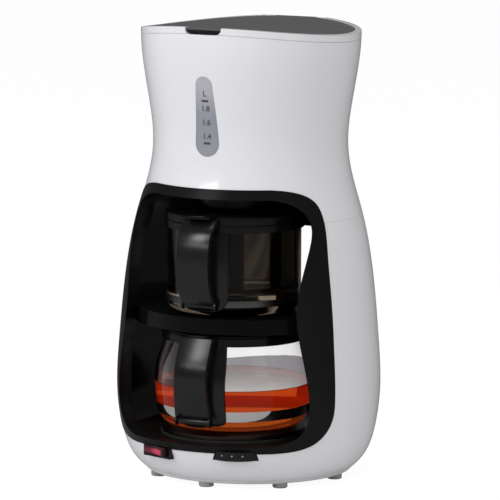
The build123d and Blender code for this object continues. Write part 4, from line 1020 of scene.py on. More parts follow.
@dataclass
class RoundBody:
    """White shell in two mouldings, with the black bezel round its tunnel. Sizes in millimetres."""

    base_r: float = 92.5
    base_z: float = 7.5
    belly_r: float = 115.5
    belly_z: float = 78.0
    seam_r: float = 98.4
    seam_z: float = 230.5
    waist_r: float = 85.4
    waist_z: float = 288.0
    rim_r: float = 95.6
    rim_z: float = 399.0
    wall: float = 2.6
    rim_land: float = 5.3
    arch_r: float = 610.0
    arch_tilt: float = 1.08
    notch_w: float = 34.4
    notch_h: float = 6.2
    notch_corner: float = 4.0
    tunnel_top: float = 251.5
    tunnel_floor: float = 40.5
    tunnel_upper: Point2 = (85.5, 209.0)
    tunnel_waist: Point2 = (81.6, 158.0)
    tunnel_lower: Point2 = (92.2, 78.0)
    tunnel_corner: float = 27.0
    rear_inset: float = 10.0
    rear_span: Point2 = (66.0, 191.5)
    rear_top: tuple[Point2, ...] = ((0.35, 206.5), (0.85, 199.5), (0.99, 182.5))
    rear_low: tuple[Point2, ...] = ((7.2, 55.8), (24.0, 51.0))
    rear_lip: float = 2.0
    bezel_half_angle: float = 66.0
    bezel_top: float = 260.0
    bezel_low: float = 34.4
    bezel_corner: float = 25.0
    bezel_proud: float = 0.8
    bezel_gap: float = 0.15
    bezel_lip: float = 12.0
    bezel_lap: float = 0.5
    liner_t: float = 2.5
    tank_top: float = 383.0
    seam_edge: Point2 = (0.4, 0.35)
    foot_edge: Point2 = (0.5, 0.8)
    groove_span: Point2 = (380.0, 402.0)
    groove_depth: Point2 = (0.8, 0.4)
    groove_low: float = 5.7
    groove_h: float = 0.3
    hinge_y: float = 91.3
    hinge_z: float = 391.4
    knuckle_r: float = 3.6
    knuckle_half: float = 19.5
    lug_gap: float = 0.4
    lug_w: float = 10.0
    lug_low: float = 385.5
    pocket: Point2 = (7.2, 4.2)
    gland_r: float = 5.0
    gland_z: float = 25.2
    gland_reach: float = 12.0
    switch_angle: float = -20.1
    switch_z: float = 31.6
    switch_face_r: float = 110.6
    switch_w: float = 33.2
    switch_h: float = 12.6
    switch_depths: Point2 = (-5.0, 15.1)
    dial_angle: float = 20.0
    dial_axis_r: float = 91.8
    dial_r: float = 24.5
    dial_low: float = 28.3
    dial_top: float = 37.1
    segments: int = 288

    def __post_init__(self) -> None:
        """Sample the body's outline once."""
        base, belly = (self.base_r, self.base_z), (self.belly_r, self.belly_z)
        seam, waist = (self.seam_r, self.seam_z), (self.waist_r, self.waist_z)
        rim = (self.rim_r, self.rim_z + 2.0)
        self.shape = Silhouette([
            base, between(base, belly, 0.53, 0.2), between(base, belly, 0.84, 0.52),
            belly, between(belly, seam, 0.1, 0.26), between(belly, seam, 0.37, 0.6),
            seam, between(seam, waist, 0.62, 0.5),
            waist, between(waist, rim, 0.25, 0.32), rim,
        ])

    def tunnel_edge(self) -> list[Point2]:
        """Right edge of the tunnel, top to bottom.

        Returns:
            The points that the edge passes.
        """
        c, (upper_x, _), (waist_x, _) = self.tunnel_corner, self.tunnel_upper, self.tunnel_waist
        top, floor, (lower_x, lower_z) = self.tunnel_top, self.tunnel_floor, self.tunnel_lower
        return [
            (upper_x - c, top), (upper_x - 0.37 * c, top - 0.31 * c), (upper_x - 0.07 * c, top - 0.78 * c),
            self.tunnel_upper, self.tunnel_waist, (lower_x - 0.16 * (lower_x - waist_x), lower_z + 0.7 * c),
            self.tunnel_lower, (lower_x - 0.26 * c, floor + 0.33 * c), (lower_x - 0.9 * c, floor),
        ]

    def bezel_edge(self) -> list[Point2]:
        """Right edge of the bezel, top to bottom.

        Returns:
            The points that the edge passes.
        """
        c, side = self.bezel_corner, math.sin(math.radians(self.bezel_half_angle))
        top_r, low = self.shape.radius(self.bezel_top) * side, self.bezel_low + 0.8 * c
        low_r = self.shape.radius(low) * side
        heights = (
            self.bezel_top - 0.96 * c, self.seam_z - c, self.tunnel_waist[1],
            2 * self.belly_z - self.tunnel_floor, self.belly_z,
        )
        return [
            (top_r - c + 2.0, self.bezel_top), (top_r - 0.12 * c, self.bezel_top - 0.32 * c),
            *[(self.shape.radius(z) * side - self.bezel_gap, z) for z in heights], (low_r - 0.08 * c, low),
            (low_r - 0.48 * c, self.bezel_low + 0.23 * c), (low_r - 1.2 * c, self.bezel_low),
        ]

    def rear_edge(self) -> list[Point2]:
        """Right edge of the window in the back, top to bottom.

        Returns:
            The points that the edge passes.
        """
        low, high = self.rear_span
        inside = [(x, z) for x, z in grown(self.tunnel_edge(), -self.rear_inset) if low < z < high]
        above = [(share * inside[0][0], z) for share, z in self.rear_top]
        return [*above, *inside, *[(inside[-1][0] - step, z) for step, z in self.rear_low]]

    def opening(self, edge: list[Point2], amount: float, front: bool) -> bpy.types.Object:
        """Cutter of one of the tunnel's outlines, to the front or the back."""
        ends = (-FAR, 0.0) if front else (0.0, FAR)
        return drawn_out("opening", mirrored(grown(edge, amount)), *ends)

    def arch(self, drop: float) -> bpy.types.Object:
        """Everything below the arched rim, lowered by drop.

        Args:
            drop: how far it lies below the rim.

        Returns:
            The cutter.
        """
        tilt = math.radians(self.arch_tilt)
        middle = self.rim_z - self.rim_r * math.sin(tilt) - drop - self.arch_r
        half, foot, count = 130.0, 100.0, 208
        across = [half - 2 * half * i / count for i in range(count + 1)]
        outline = [(x, math.sqrt(self.arch_r**2 - x * x)) for x in across] + [(-half, foot), (half, foot)]
        turn = Matrix.Translation((0, 0, middle)) @ Matrix.Rotation(-tilt, 4, "X")
        return drawn_out("arch", outline, -FAR, FAR, turn)

    def notch(self, gap: float) -> bpy.types.Object:
        """Cutter of the finger notch in the front of the rim.

        Args:
            gap: how far it stays inside the notch's edge.

        Returns:
            The cutter.
        """
        half, low = self.notch_w / 2 - gap, self.rim_z - self.notch_h + gap
        reach = 1.4 * (self.notch_corner - gap)
        outline = rounded([(half, ABOVE, 0), (half, low, reach), (-half, low, reach), (-half, ABOVE, 0)], 6)
        return drawn_out("notch", outline, -FAR, -(self.rim_r - 2 * self.rim_land))

    def switch_place(self) -> Matrix:
        """Frame of the switch's face, with X along it and Y into the body."""
        spot = (*self.on_circle(self.switch_face_r, self.switch_angle), self.switch_z)
        return Matrix.Translation(spot) @ Matrix.Rotation(math.radians(self.switch_angle), 4, "Z")

    def on_circle(self, radius: float, angle: float) -> Point2:
        """Place at an angle from the front, turning towards +X."""
        return radius * math.sin(math.radians(angle)), -radius * math.cos(math.radians(angle))

    def cut_controls(self, piece: bpy.types.Object) -> None:
        """Cut the openings of the switch and the selector.

        Args:
            piece: the moulding that is cut.
        """
        half_w, half_h, (near, far) = self.switch_w / 2, self.switch_h / 2, self.switch_depths
        low, high = (-half_w, near, -half_h), (half_w, far, half_h)
        carve(piece, block("switch_cut", low, high, self.switch_place()))
        x, y = self.on_circle(self.dial_axis_r, self.dial_angle)
        carve(piece, turned("dial_cut", oblong(0, self.dial_r, self.dial_low, self.dial_top), 96, x, y))

    def wall_between(
        self, name: str, span: Point2, insets: Point2, rows: tuple[int, int]
    ) -> bpy.types.Object:
        """Turned wall between two insets of the outline.

        Args:
            name: the object's name.
            span: its lower and upper height.
            insets: how far its outer and inner side lie inside the outline.
            rows: the steps in height of its outer and inner side.

        Returns:
            The closed wall.
        """
        outer, inner = (self.shape.strip(*span, inset, count) for inset, count in zip(insets, rows))
        return turned(name, outer + inner[::-1], self.segments)

    def build_lower(self) -> None:
        """White lower moulding, with its foot edge rounded and the seam chamfered."""
        seam, (seam_in, seam_cut), (foot_in, foot_cut) = self.seam_z, self.seam_edge, self.foot_edge
        outer = self.shape.strip(self.base_z + foot_cut, seam - seam_cut, 0.0, 110)
        inner = self.shape.strip(self.base_z, seam, self.wall, 36)
        outline = [(self.base_r - foot_in, self.base_z), *outer, (self.seam_r - seam_in, seam), *inner[::-1]]
        piece = turned("shell_lower", outline, self.segments)
        carve(piece, self.opening(self.bezel_edge(), self.bezel_gap, True))
        carve(piece, self.opening(self.rear_edge(), self.rear_lip, False))
        self.cut_controls(piece)
        y, bore = self.shape.radius(self.gland_z), arc(self.gland_r, 32, (0.0, self.gland_z))
        carve(piece, drawn_out("gland_cut", bore, y - self.gland_reach, y + self.gland_reach))
        exact_normals(piece, self.shape, (0.0, self.wall))
        place(piece, WHITE, "body", "white_shell", ["lower_housing"])

    def groove(self) -> bpy.types.Object:
        """Fine groove round the rim, which follows its arch.

        Returns:
            The cutter.
        """
        (low, high), (low_in, high_in), out = self.groove_span, self.groove_depth, self.rim_r + 3
        outline = [(self.rim_r - low_in, low), (out, low), (out, high), (self.rim_r - high_in, high)]
        ring = turned("groove", outline, self.segments)
        carve(ring, self.arch(self.groove_low), Cut.KEEP)
        carve(ring, self.arch(self.groove_low + self.groove_h))
        return ring

    def build_upper(self) -> None:
        """White upper moulding with its arched rim, finger notch and hinge lugs."""
        seam, high, band_low = self.seam_z, self.rim_z + 2.0, self.tank_top + 1.0
        seam_in, seam_cut = self.seam_edge
        outer = self.shape.strip(seam + seam_cut, high, 0.0, 110)
        inner = self.shape.strip(seam, band_low, self.wall, 30)
        inner += [(self.rim_r - self.rim_land, band_low), (self.rim_r - self.rim_land, high)]
        piece = turned("shell_upper", [(self.seam_r - seam_in, seam), *outer, *inner[::-1]], self.segments)
        carve(piece, self.arch(0.0), Cut.KEEP)
        carve(piece, self.groove())
        carve(piece, self.opening(self.bezel_edge(), self.bezel_gap, True))
        carve(piece, drawn_out("pill", Gauge().outline(SEAT), -FAR, 0.0))
        carve(piece, self.notch(0.0))
        half, (near, below) = self.knuckle_half + 2 * self.lug_gap + self.lug_w, self.pocket
        low, high = (-half, self.hinge_y - near, self.hinge_z - below), (half, self.rim_r + 5.4, ABOVE - 1)
        carve(piece, block("hinge_cut", low, high))
        exact_normals(piece, self.shape, (0.0, self.wall))
        place(piece, WHITE, "body", "white_shell")
        place(soften(self.lugs(), 0.4), WHITE, "body", "white_shell")
        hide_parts("upper_housing")

    def lugs(self) -> bpy.types.Object:
        """Two lugs that hold the pin of the tank lid.

        Returns:
            The pair.
        """
        top = [(-y, z) for y, z in arc(self.knuckle_r, 20, (0.0, self.hinge_z), 0.0, math.pi)]
        lug = [*top, (self.knuckle_r, self.lug_low), (-self.knuckle_r, self.lug_low)]
        near = self.knuckle_half + self.lug_gap
        far = near + self.lug_w
        pair = [drawn_out("lug", lug, *ends, sideways(self.hinge_y)) for ends in ((near, far), (-far, -near))]
        return set_in(pair, "hinge_lugs")

    def build_bezel(self) -> None:
        """Black frame round the front of the tunnel, proud of the shell."""
        proud, lip, lap = -self.bezel_proud, self.bezel_lip, self.wall - self.bezel_lap
        span = (self.bezel_low - 6.0, self.bezel_top + 6.0)
        plate = self.wall_between("bezel", span, (proud, self.wall), (120, 60))
        carve(plate, self.opening(self.bezel_edge(), 0.0, True), Cut.KEEP)
        neck = self.wall_between("bezel_neck", span, (lap, lip), (60, 60))
        carve(neck, self.opening(grown(self.tunnel_edge(), self.liner_t), 0.0, True), Cut.KEEP)
        carve(plate, neck, Cut.JOIN)
        carve(plate, self.opening(self.tunnel_edge(), 0.0, True))
        self.cut_controls(plate)
        exact_normals(plate, self.shape, (proud, self.wall, lip))
        place(plate, BEZEL_BLACK, "body", "black_trim", ["front_bezel"])

    def build(self) -> None:
        """Build the whole body."""
        self.build_lower()
        self.build_upper()
        self.build_bezel()


@dataclass
class Gauge:
    """Water level window: a tapered pill with a few numbers. Sizes in millimetres."""

    top_r: float = 7.9
    top_z: float = 349.0
    low_r: float = 11.2
    low_z: float = 298.5
    recess: float = 0.3
    ink: float = 0.14
    depth: float = 4.2
    marks: tuple[tuple[str, float], ...] = (("L", 341.7), ("1.8", 328.8), ("1.6", 316.6), ("1.4", 304.5))
    bars: tuple[float, ...] = (335.6, 298.7)
    letter_h: float = 4.9
    letter_size: float = 1.35
    boldness: float = 0.1
    bar_h: float = 1.8
    bar_steps: tuple[float, ...] = (-3.2, -1.1, 1.1, 3.2)

    def outline(self, grow: float) -> list[Point2]:
        """Closed outline of the pill.

        Args:
            grow: how far it lies outside the pill.

        Returns:
            The points, anticlockwise.
        """
        lean = math.asin((self.low_r - self.top_r) / (self.top_z - self.low_z))
        top = arc(self.top_r + grow, 32, (0.0, self.top_z), lean, math.pi - 2 * lean)
        return top + arc(self.low_r + grow, 32, (0.0, self.low_z), math.pi - lean, math.pi + 2 * lean)

    def figure(self, text: str, height: float, body: RoundBody) -> bpy.types.Object:
        """One printed figure, laid on the curved window.

        Args:
            text: what it reads.
            height: the height of its middle.
            body: the body that carries the window.

        Returns:
            The figure.
        """
        curve = bpy.data.curves.new("figure", "FONT")
        curve.body, curve.size = text, self.letter_h * MM * self.letter_size
        curve.align_x, curve.align_y = "CENTER", "CENTER"
        curve.offset = self.boldness * MM
        made = new_object("figure", curve)
        mesh = evaluated(made)
        bpy.data.objects.remove(made)
        for vertex in mesh.vertices:
            x, z = vertex.co.x, height * MM + vertex.co.y
            radius = (body.shape.radius(z / MM) - self.recess + self.ink) * MM
            vertex.co = (x, -math.sqrt(radius**2 - x * x), z)
        return new_object("figure", mesh)

    def bar(self, height: float, body: RoundBody) -> bpy.types.Object:
        """Short level bar on the window.

        Args:
            height: the height of its middle.
            body: the body that carries the window.

        Returns:
            The bar.
        """
        verts = []
        for z in (height - self.bar_h / 2, height + self.bar_h / 2):
            radius = body.shape.radius(z) - self.recess + self.ink
            verts += [(x, -math.sqrt(radius**2 - x * x), z) for x in self.bar_steps]
        row = len(self.bar_steps)
        return from_faces("bar", verts, [[i, i + 1, i + row + 1, i + row] for i in range(row - 1)])

    def build(self, body: RoundBody) -> None:
        """Build the window and its print.

        Args:
            body: the body that carries the window.
        """
        span = (self.low_z - self.low_r - 2, self.top_z + self.top_r + 2)
        pane = body.wall_between("level_pane", span, (self.recess, self.depth), (50, 10))
        carve(pane, drawn_out("pill", self.outline(0.0), -FAR, 0.0), Cut.KEEP)
        exact_normals(pane, body.shape, (self.recess, self.depth))
        place(pane, GAUGE_GREY, "body", "window_grey", ["level_window"])
        prints = [self.figure(text, height, body) for text, height in self.marks]
        prints += [self.bar(height, body) for height in self.bars]
        place(set_in(prints, "level_print"), PRINT_GREY, "body", "window_grey")


@dataclass
class TankLid:
    """Grey arched lid with its front lip, skirt and hinge barrel. Sizes in millimetres."""

    gap: float = 0.9
    drop: float = 0.4
    thick: float = 2.6
    skirt_inset: float = 3.6
    skirt_t: float = 2.2
    skirt_z: float = 385.5
    lip_t: float = 1.8
    lip_w: float = 14.0
    lip_z: float = 390.0
    edge_w: float = 0.35
    grip_gap: float = 0.7
    segments: int = 240

    def build(self, body: RoundBody) -> None:
        """Build the lid.

        Args:
            body: the body that it closes.
        """
        radius, high = body.rim_r - body.rim_land - self.gap, body.rim_z + 4
        lid = turned("tank_lid", oblong(0, radius, self.skirt_z, high), self.segments)
        carve(lid, body.arch(self.drop), Cut.KEEP)
        carve(lid, body.arch(self.drop + self.thick))
        near, far = body.rim_r - self.lip_w, body.rim_r - self.grip_gap
        lip = turned("lip", oblong(near, far, self.lip_z, high), self.segments)
        carve(lip, body.notch(self.grip_gap), Cut.KEEP)
        carve(lip, body.arch(self.drop), Cut.KEEP)
        carve(lip, body.arch(self.drop + self.lip_t))
        carve(lid, lip, Cut.JOIN)
        soften(lid, self.edge_w, 2, 50)
        skirt_r = radius - self.skirt_inset
        skirt = turned("skirt", oblong(skirt_r - self.skirt_t, skirt_r, self.skirt_z, high), 160)
        carve(skirt, body.arch(self.drop + 0.9 * self.thick), Cut.KEEP)
        barrel, half = arc(body.knuckle_r, 40, (0.0, body.hinge_z)), body.knuckle_half
        knuckle = drawn_out("knuckle", barrel, -half, half, sideways(body.hinge_y))
        whole = set_in([lid, skirt, knuckle], "tank_lid_moulding")
        place(whole, LID_GREY, "tank_lid", "grey_gloss", ["reservoir_lid"])


# ------------------------------------------------------------------ carafes
@dataclass
class Carafe:
    """What both carafes share: axis, collar, strap handle and lid. Sizes in millimetres."""

    use: ClassVar[str]
    level: ClassVar[str]
    glass_t: float
    top: float
    collar_low: float
    collar_high: float
    lid_top: float
    tab_t: float
    grip_r: float
    handle_top: float
    handle_low: float
    reach_in: float
    axis_y: float = -31.0
    floor_t: float = 2.5
    collar_t: float = 2.6
    band_t: float = 0.8
    handle_w: float = 30.0
    handle_t: float = 5.0
    handle_gap: float = 1.0
    base_angle: float = 21.0
    base_t: float = 2.6
    shoulder: Point2 = (9.0, 0.09)
    bow_share: float = 0.4
    wrist: Point2 = (5.5, 0.2)
    strap_edge_w: float = 1.2
    heel_round: float = 9.0
    plate_round: float = 6.0
    plate_edge_w: float = 0.5
    cross_share: float = 1.2
    slot_w: float = 1.0
    slot_depth: float = 0.7
    boss_r: float = 2.6
    boss_edge: float = 0.6
    screw_r: float = 1.8
    head_r: float = 4.0
    head_h: float = 1.8
    lid_gap: float = 0.3
    lid_skin: float = 2.0
    lid_wall: float = 2.4
    lid_rim: float = 5.0
    lid_step: Point2 = (1.2, 0.7)
    lid_fall: float = 0.9
    pour_r: float = 9.0
    tab_w: float = 22.0
    tab_r: float = 73.5
    tab_root: float = 6.0
    tab_corner: float = 5.0
    tab_edge_w: float = 0.6
    tea_in: float = 0.25
    tea_under: float = 0.2

    def turn(self, part: str, outline: Sequence[Point2], finish: Finish, slot: str) -> None:
        """Turn one part round the axis and place it."""
        made = smooth(turned(f"{self.use}_{part}", outline, 192, 0, self.axis_y))
        place(made, finish, f"{self.level}_carafe", slot, [f"{self.level}_{part}"])

    def fill(self, name: str, outline: Sequence[Point2], finish: Finish) -> None:
        """Turn the tea in the glass and place it."""
        place(smooth(turned(name, outline, 160, 0, self.axis_y)), finish, f"{self.level}_carafe", "glass")

    def build_collar(self, neck: float, ledge: float) -> None:
        """Collar round the neck, which reaches in over the rim of the glass as far as the ledge.

        Args:
            neck: outer radius of the neck of the glass.
            ledge: inner radius of the collar.
        """
        outer, near, seat = neck + self.collar_t, neck + SEAT, self.top + SEAT
        outline = [
            (outer, self.collar_low, 0.6), (outer, self.collar_high, 0.8), (ledge, self.collar_high, 0.4),
            (ledge, seat, 0), (near, seat, 0), (near, self.collar_low, 0.3),
        ]
        self.turn("collar", rounded(outline), LID_BLACK, "black_gloss")

    def strap_edge(self, root: float) -> list[Point2]:
        """Outer side view of the strap, as distance from the axis and height.

        Args:
            root: distance from the axis to the foot of the strap.

        Returns:
            The points that the edge passes, top to bottom.
        """
        grip, top, low = self.grip_r, self.handle_top, self.handle_low
        height, (shoulder_in, shoulder), (wrist_in, wrist) = top - low, self.shoulder, self.wrist
        return [
            (root, top), (grip - shoulder_in, top - shoulder * height), (grip, top - self.bow_share * height),
            (grip - wrist_in, low + wrist * height), (root, low),
        ]

    def strap(self, root: float) -> bpy.types.Object:
        """Flat strap that bows out from the carafe, with rounded long edges.

        Args:
            root: distance from the axis to the foot of the strap.

        Returns:
            The strap.
        """
        edge, back = self.strap_edge(root), root - self.reach_in
        top, low = self.handle_top, self.handle_low
        outer = [(back, top), *spline_through(edge, 12), (back, low)]
        bowed = spline_through(grown(edge, -self.handle_t), 12)
        inner = [(back, top - self.handle_t), *bowed, (back, low + self.handle_t)]
        outline = [(-r, z) for r, z in outer + inner[::-1]]
        half = self.handle_w / 2
        piece = drawn_out("strap", outline, -half, half, sideways(self.axis_y))
        self.round_heel(piece, half, low, self.heel_round)
        return soften(piece, self.strap_edge_w, 3)

    def round_heel(self, piece: bpy.types.Object, half: float, low: float, radius: float) -> None:
        """Round the lower corners of a piece, seen from the front.

        Args:
            piece: the piece.
            half: half of its width.
            low: its lower end.
            radius: the radius of the rounding.
        """
        reach = radius * 1.3
        front = rounded([(half, ABOVE, 0), (half, low, reach), (-half, low, reach), (-half, ABOVE, 0)], 12)
        carve(piece, drawn_out("front_view", front, -FAR, 0.0), Cut.KEEP)

    def back_plate(self, edge: Sequence[Point2]) -> bpy.types.Object:
        """Curved plate of the handle against the glass.

        Args:
            edge: inner side view of the plate, top to bottom.

        Returns:
            The plate.
        """
        steps, verts, faces = 14, [], []
        half = math.radians(self.base_angle)
        outer = [(r + self.base_t, z) for r, z in edge]
        outline = [*outer, *reversed(edge)]
        for i in range(steps + 1):
            angle = -half + 2 * half * i / steps
            verts += [(r * math.sin(angle), self.axis_y - r * math.cos(angle), z) for r, z in outline]
        count = len(outline)
        for i in range(steps):
            for j in range(count):
                k = (j + 1) % count
                faces.append([i * count + j, i * count + k, (i + 1) * count + k, (i + 1) * count + j])
        faces += [list(range(count)), list(range(steps * count, (steps + 1) * count))]
        plate = from_faces("plate", verts, faces)
        self.round_heel(plate, outer[-1][0] * math.sin(half) + 0.05, outer[-1][1], self.plate_round)
        return soften(plate, self.plate_edge_w, 2, 50)

    def crosswise(self, name: str, side: list[Side], segments: int, root: float) -> bpy.types.Object:
        """Turned part across the lower arm of the handle.

        Args:
            name: the object's name.
            side: outline of one half, from the axis of its end to the middle.
            segments: how many steps go round it.
            root: distance from the carafe's axis to the foot of the strap.

        Returns:
            The part in its place.
        """
        made = turned(name, rounded([(r, -z, corner) for r, z, corner in side] + side[::-1], 3), segments)
        y, z = self.cross_axis(root)
        made.data.transform(Matrix.Translation((0, y * MM, z * MM)) @ Matrix.Rotation(math.pi / 2, 4, "Y"))
        return made

    def cross_axis(self, root: float) -> Point2:
        """Where the screw's axis crosses the middle plane, as depth and height."""
        return self.axis_y - root - self.handle_t, self.handle_low + self.handle_t * self.cross_share

    def build_handle(self, root: float, edge: Sequence[Point2]) -> None:
        """Handle with its strap, plate and boss, and the slotted screw through it.

        Args:
            root: distance from the axis to the foot of the strap.
            edge: inner side view of the plate, top to bottom.
        """
        half, body = self.handle_w / 2, f"{self.level}_carafe"
        end = half - self.boss_edge
        strap, plate = self.strap(root), self.back_plate(edge)
        boss = self.crosswise("boss", [(0, end, 0), (self.boss_r, end, self.boss_edge)], 40, root)
        handle = set_in([strap, plate, boss], f"{self.use}_handle")
        place(handle, HANDLE_BLACK, body, "black_gloss", [f"{self.level}_handle"])
        end, (y, z) = half + self.head_h, self.cross_axis(root)
        side = [(0, end, 0), (self.head_r, end, 0.8), (self.head_r, half, 0), (self.screw_r, half, 0)]
        screw = self.crosswise(f"{self.use}_screw", side, 32, root)
        across, along, floor = self.slot_w / 2, self.head_r + 1, end - self.slot_depth
        carve(screw, block("slot", (floor, y - across, z - along), (end + 1, y + across, z + along)))
        place(smooth(screw), SCREW_BLACK, body, "steel", [f"{self.level}_handle_screw"])

    def build_lid(self, neck: float, ledge: float) -> None:
        """Round lid with a plug ring, a pouring hole and a thumb tab, over the collar.

        Args:
            neck: outer radius of the neck of the glass.
            ledge: inner radius of the collar.
        """
        radius, plug = neck + self.collar_t - self.lid_gap, ledge - self.lid_gap
        low, top, name = self.collar_high + self.lid_gap, self.lid_top, f"{self.use}_lid"
        plug_low, plug_in, under = low - self.lid_wall, plug - self.lid_wall, top - self.lid_skin
        step, pour, ring = radius - self.lid_rim, self.pour_r, self.pour_r + self.lid_wall
        (step_w, step_h), fall, corner = self.lid_step, self.lid_fall, self.tab_corner
        cover = turned(name, rounded([
            (pour, top, 0.8), (step, top, 0.5), (step + step_w, top - step_h, 0.4), (radius, top - fall, 0.9),
            (radius, low, 0.3), (plug, low, 0), (plug, plug_low, 0.3), (plug_in, plug_low, 0.3),
            (plug_in, under, 0), (ring, under, 0), (ring, low, 0), (pour, low, 0),
        ], 4), 192, 0.0, self.axis_y)
        half, tab_low = self.tab_w / 2, self.handle_top + self.lid_gap
        near, far = self.axis_y - radius + self.tab_root, self.axis_y - self.tab_r
        plan = rounded([(-half, near, 0), (half, near, 0), (half, far, corner), (-half, far, corner)], 6)
        tab = drawn_out("tab", plan, tab_low, tab_low + self.tab_t)
        tab.data.transform(Matrix(((1, 0, 0, 0), (0, 0, 1, 0), (0, 1, 0, 0), (0, 0, 0, 1))))
        tab.data.flip_normals()
        whole = set_in([smooth(cover), soften(tab, self.tab_edge_w, 2, 50)], name)
        place(whole, LID_BLACK, f"{self.level}_carafe_lid", "black_gloss", [f"{self.level}_lid"])


@dataclass
class SteepingCarafe(Carafe):
    """Upper carafe: straight glass, wide lid and the tea basket inside. Sizes in millimetres."""

    use: ClassVar[str] = "steeping"
    level: ClassVar[str] = "upper"
    radius: float = 58.3
    glass_t: float = 2.0
    low: float = 149.3
    top: float = 226.0
    corner: float = 9.0
    punt_r: float = 24.0
    punt_h: float = 5.6
    hole_r: float = 11.0
    fold: float = 1.5
    ledge_w: float = 1.0
    band_low: float = 157.6
    band_high: float = 163.4
    collar_low: float = 222.0
    collar_high: float = 228.6
    lid_top: float = 236.6
    tab_t: float = 2.8
    grip_r: float = 82.0
    handle_top: float = 235.0
    handle_low: float = 154.0
    reach_in: float = 1.6
    plate_round: float = 12.0
    tea_top: float = 224.5
    wires: int = 270
    rings: int = 52
    wire_r: float = 0.27
    basket_r: float = 43.0
    basket_low: float = 172.2
    basket_high: float = 223.8

    def glass_outline(self) -> list[Point2]:
        """Closed outline of the glass wall.

        Returns:
            The points.
        """
        low, top, floor, hole = self.low, self.top, self.low + self.floor_t, self.hole_r
        inner, punt_in, rise = self.radius - self.glass_t, self.punt_r - self.punt_h, self.punt_h
        fold, corner = self.fold, self.corner
        return rounded([
            (self.punt_r, low, fold), (self.radius, low, corner), (self.radius, top, 0.8), (inner, top, 0.8),
            (inner, floor, corner - self.glass_t), (self.punt_r, floor, fold), (punt_in, floor + rise, fold),
            (hole, floor + rise, 0.3), (hole, low + rise, 0.3), (punt_in, low + rise, fold),
        ], 8)

    def build(self) -> None:
        """Build the carafe and what it carries."""
        self.turn("glass", self.glass_outline(), GREYED_GLASS, "glass")
        ledge, near = self.radius - self.glass_t - self.ledge_w, self.radius + SEAT
        self.build_collar(self.radius, ledge)
        outer, low, high = near + self.band_t, self.band_low, self.band_high
        band = rounded([(near, low, 0), (outer, low, 0.35), (outer, high, 0.35), (near, high, 0)])
        # the upper band wears the darker copy of the steel, as painted shade
        self.turn("band", band, BAND_PAINTED_SHADE, "steel")
        foot = self.radius + self.handle_gap
        self.build_handle(foot + self.base_t, [(foot, self.collar_low - SEAT), (foot, self.handle_low)])
        self.build_lid(self.radius, ledge)
        self.build_mesh()
        self.build_tea()

    def build_tea(self) -> None:
        """Strong tea that fills the glass round the basket up to the collar."""
        wet, top = self.radius - self.glass_t + self.tea_in, self.tea_top
        floor, punt_in = self.low + self.floor_t - self.tea_under, self.punt_r - self.punt_h
        self.fill("steeping_tea", rounded([
            (0, top, 0), (wet, top, 0), (wet, floor, self.corner - self.glass_t),
            (self.punt_r, floor, self.fold), (punt_in, floor + self.punt_h, self.fold),
            (0, floor + self.punt_h, 0),
        ], 8), STRONG_TEA)

    def build_mesh(self) -> None:
        """Woven wire of the basket: upright wires and level rings."""
        rule = Pattern("woven basket", {
            "Radius": self.basket_r * MM, "Low": self.basket_low * MM,
            "Height": (self.basket_high - self.basket_low) * MM,
            "Wire": self.wire_r * MM, "Wires": self.wires, "Rings": self.rings,
        })
        given = rule.given
        low, height = given["Low"], given["Height"]
        circle = rule.add(
            "MeshCircle", ("Vertices", given["Wires"]), ("Radius", given["Radius"]), fill_type="NONE")
        upright = rule.add(
            "MeshCylinder", ("Vertices", 4), ("Radius", given["Wire"]), ("Depth", height), fill_type="NONE")
        fence = rule.add(
            "InstanceOnPoints", ("Points", circle.outputs["Mesh"]), ("Instance", upright.outputs["Mesh"]))
        middle = rule.spot(0.0, 0.0, rule.sum("MULTIPLY_ADD", height, 0.5, low))
        lift = rule.add("Transform", ("Geometry", fence.outputs[0]), ("Translation", middle))
        loop, thread = (
            rule.add("CurvePrimitiveCircle", ("Resolution", steps), ("Radius", given[size]), mode="RADIUS")
            for steps, size in ((96, "Radius"), (4, "Wire")))
        hoop = rule.add(
            "CurveToMesh", ("Curve", loop.outputs["Curve"]), ("Profile Curve", thread.outputs["Curve"]))
        rise = rule.spot(0.0, 0.0, rule.sum("DIVIDE", height, given["Rings"]))
        foot = rule.spot(0.0, 0.0, low)
        column = rule.add(
            "MeshLine", ("Count", given["Rings"]), ("Start Location", foot), ("Offset", rise), mode="OFFSET")
        stack = rule.add(
            "InstanceOnPoints", ("Points", column.outputs["Mesh"]), ("Instance", hoop.outputs["Mesh"]))
        woven = rule.bake("basket_wire", MESH_STEEL, lift.outputs["Geometry"], stack.outputs["Instances"])
        woven.data.transform(Matrix.Translation((0, self.axis_y * MM, 0)))
        place(woven, MESH_STEEL, "upper_carafe", "steel", ["infuser_mesh"])


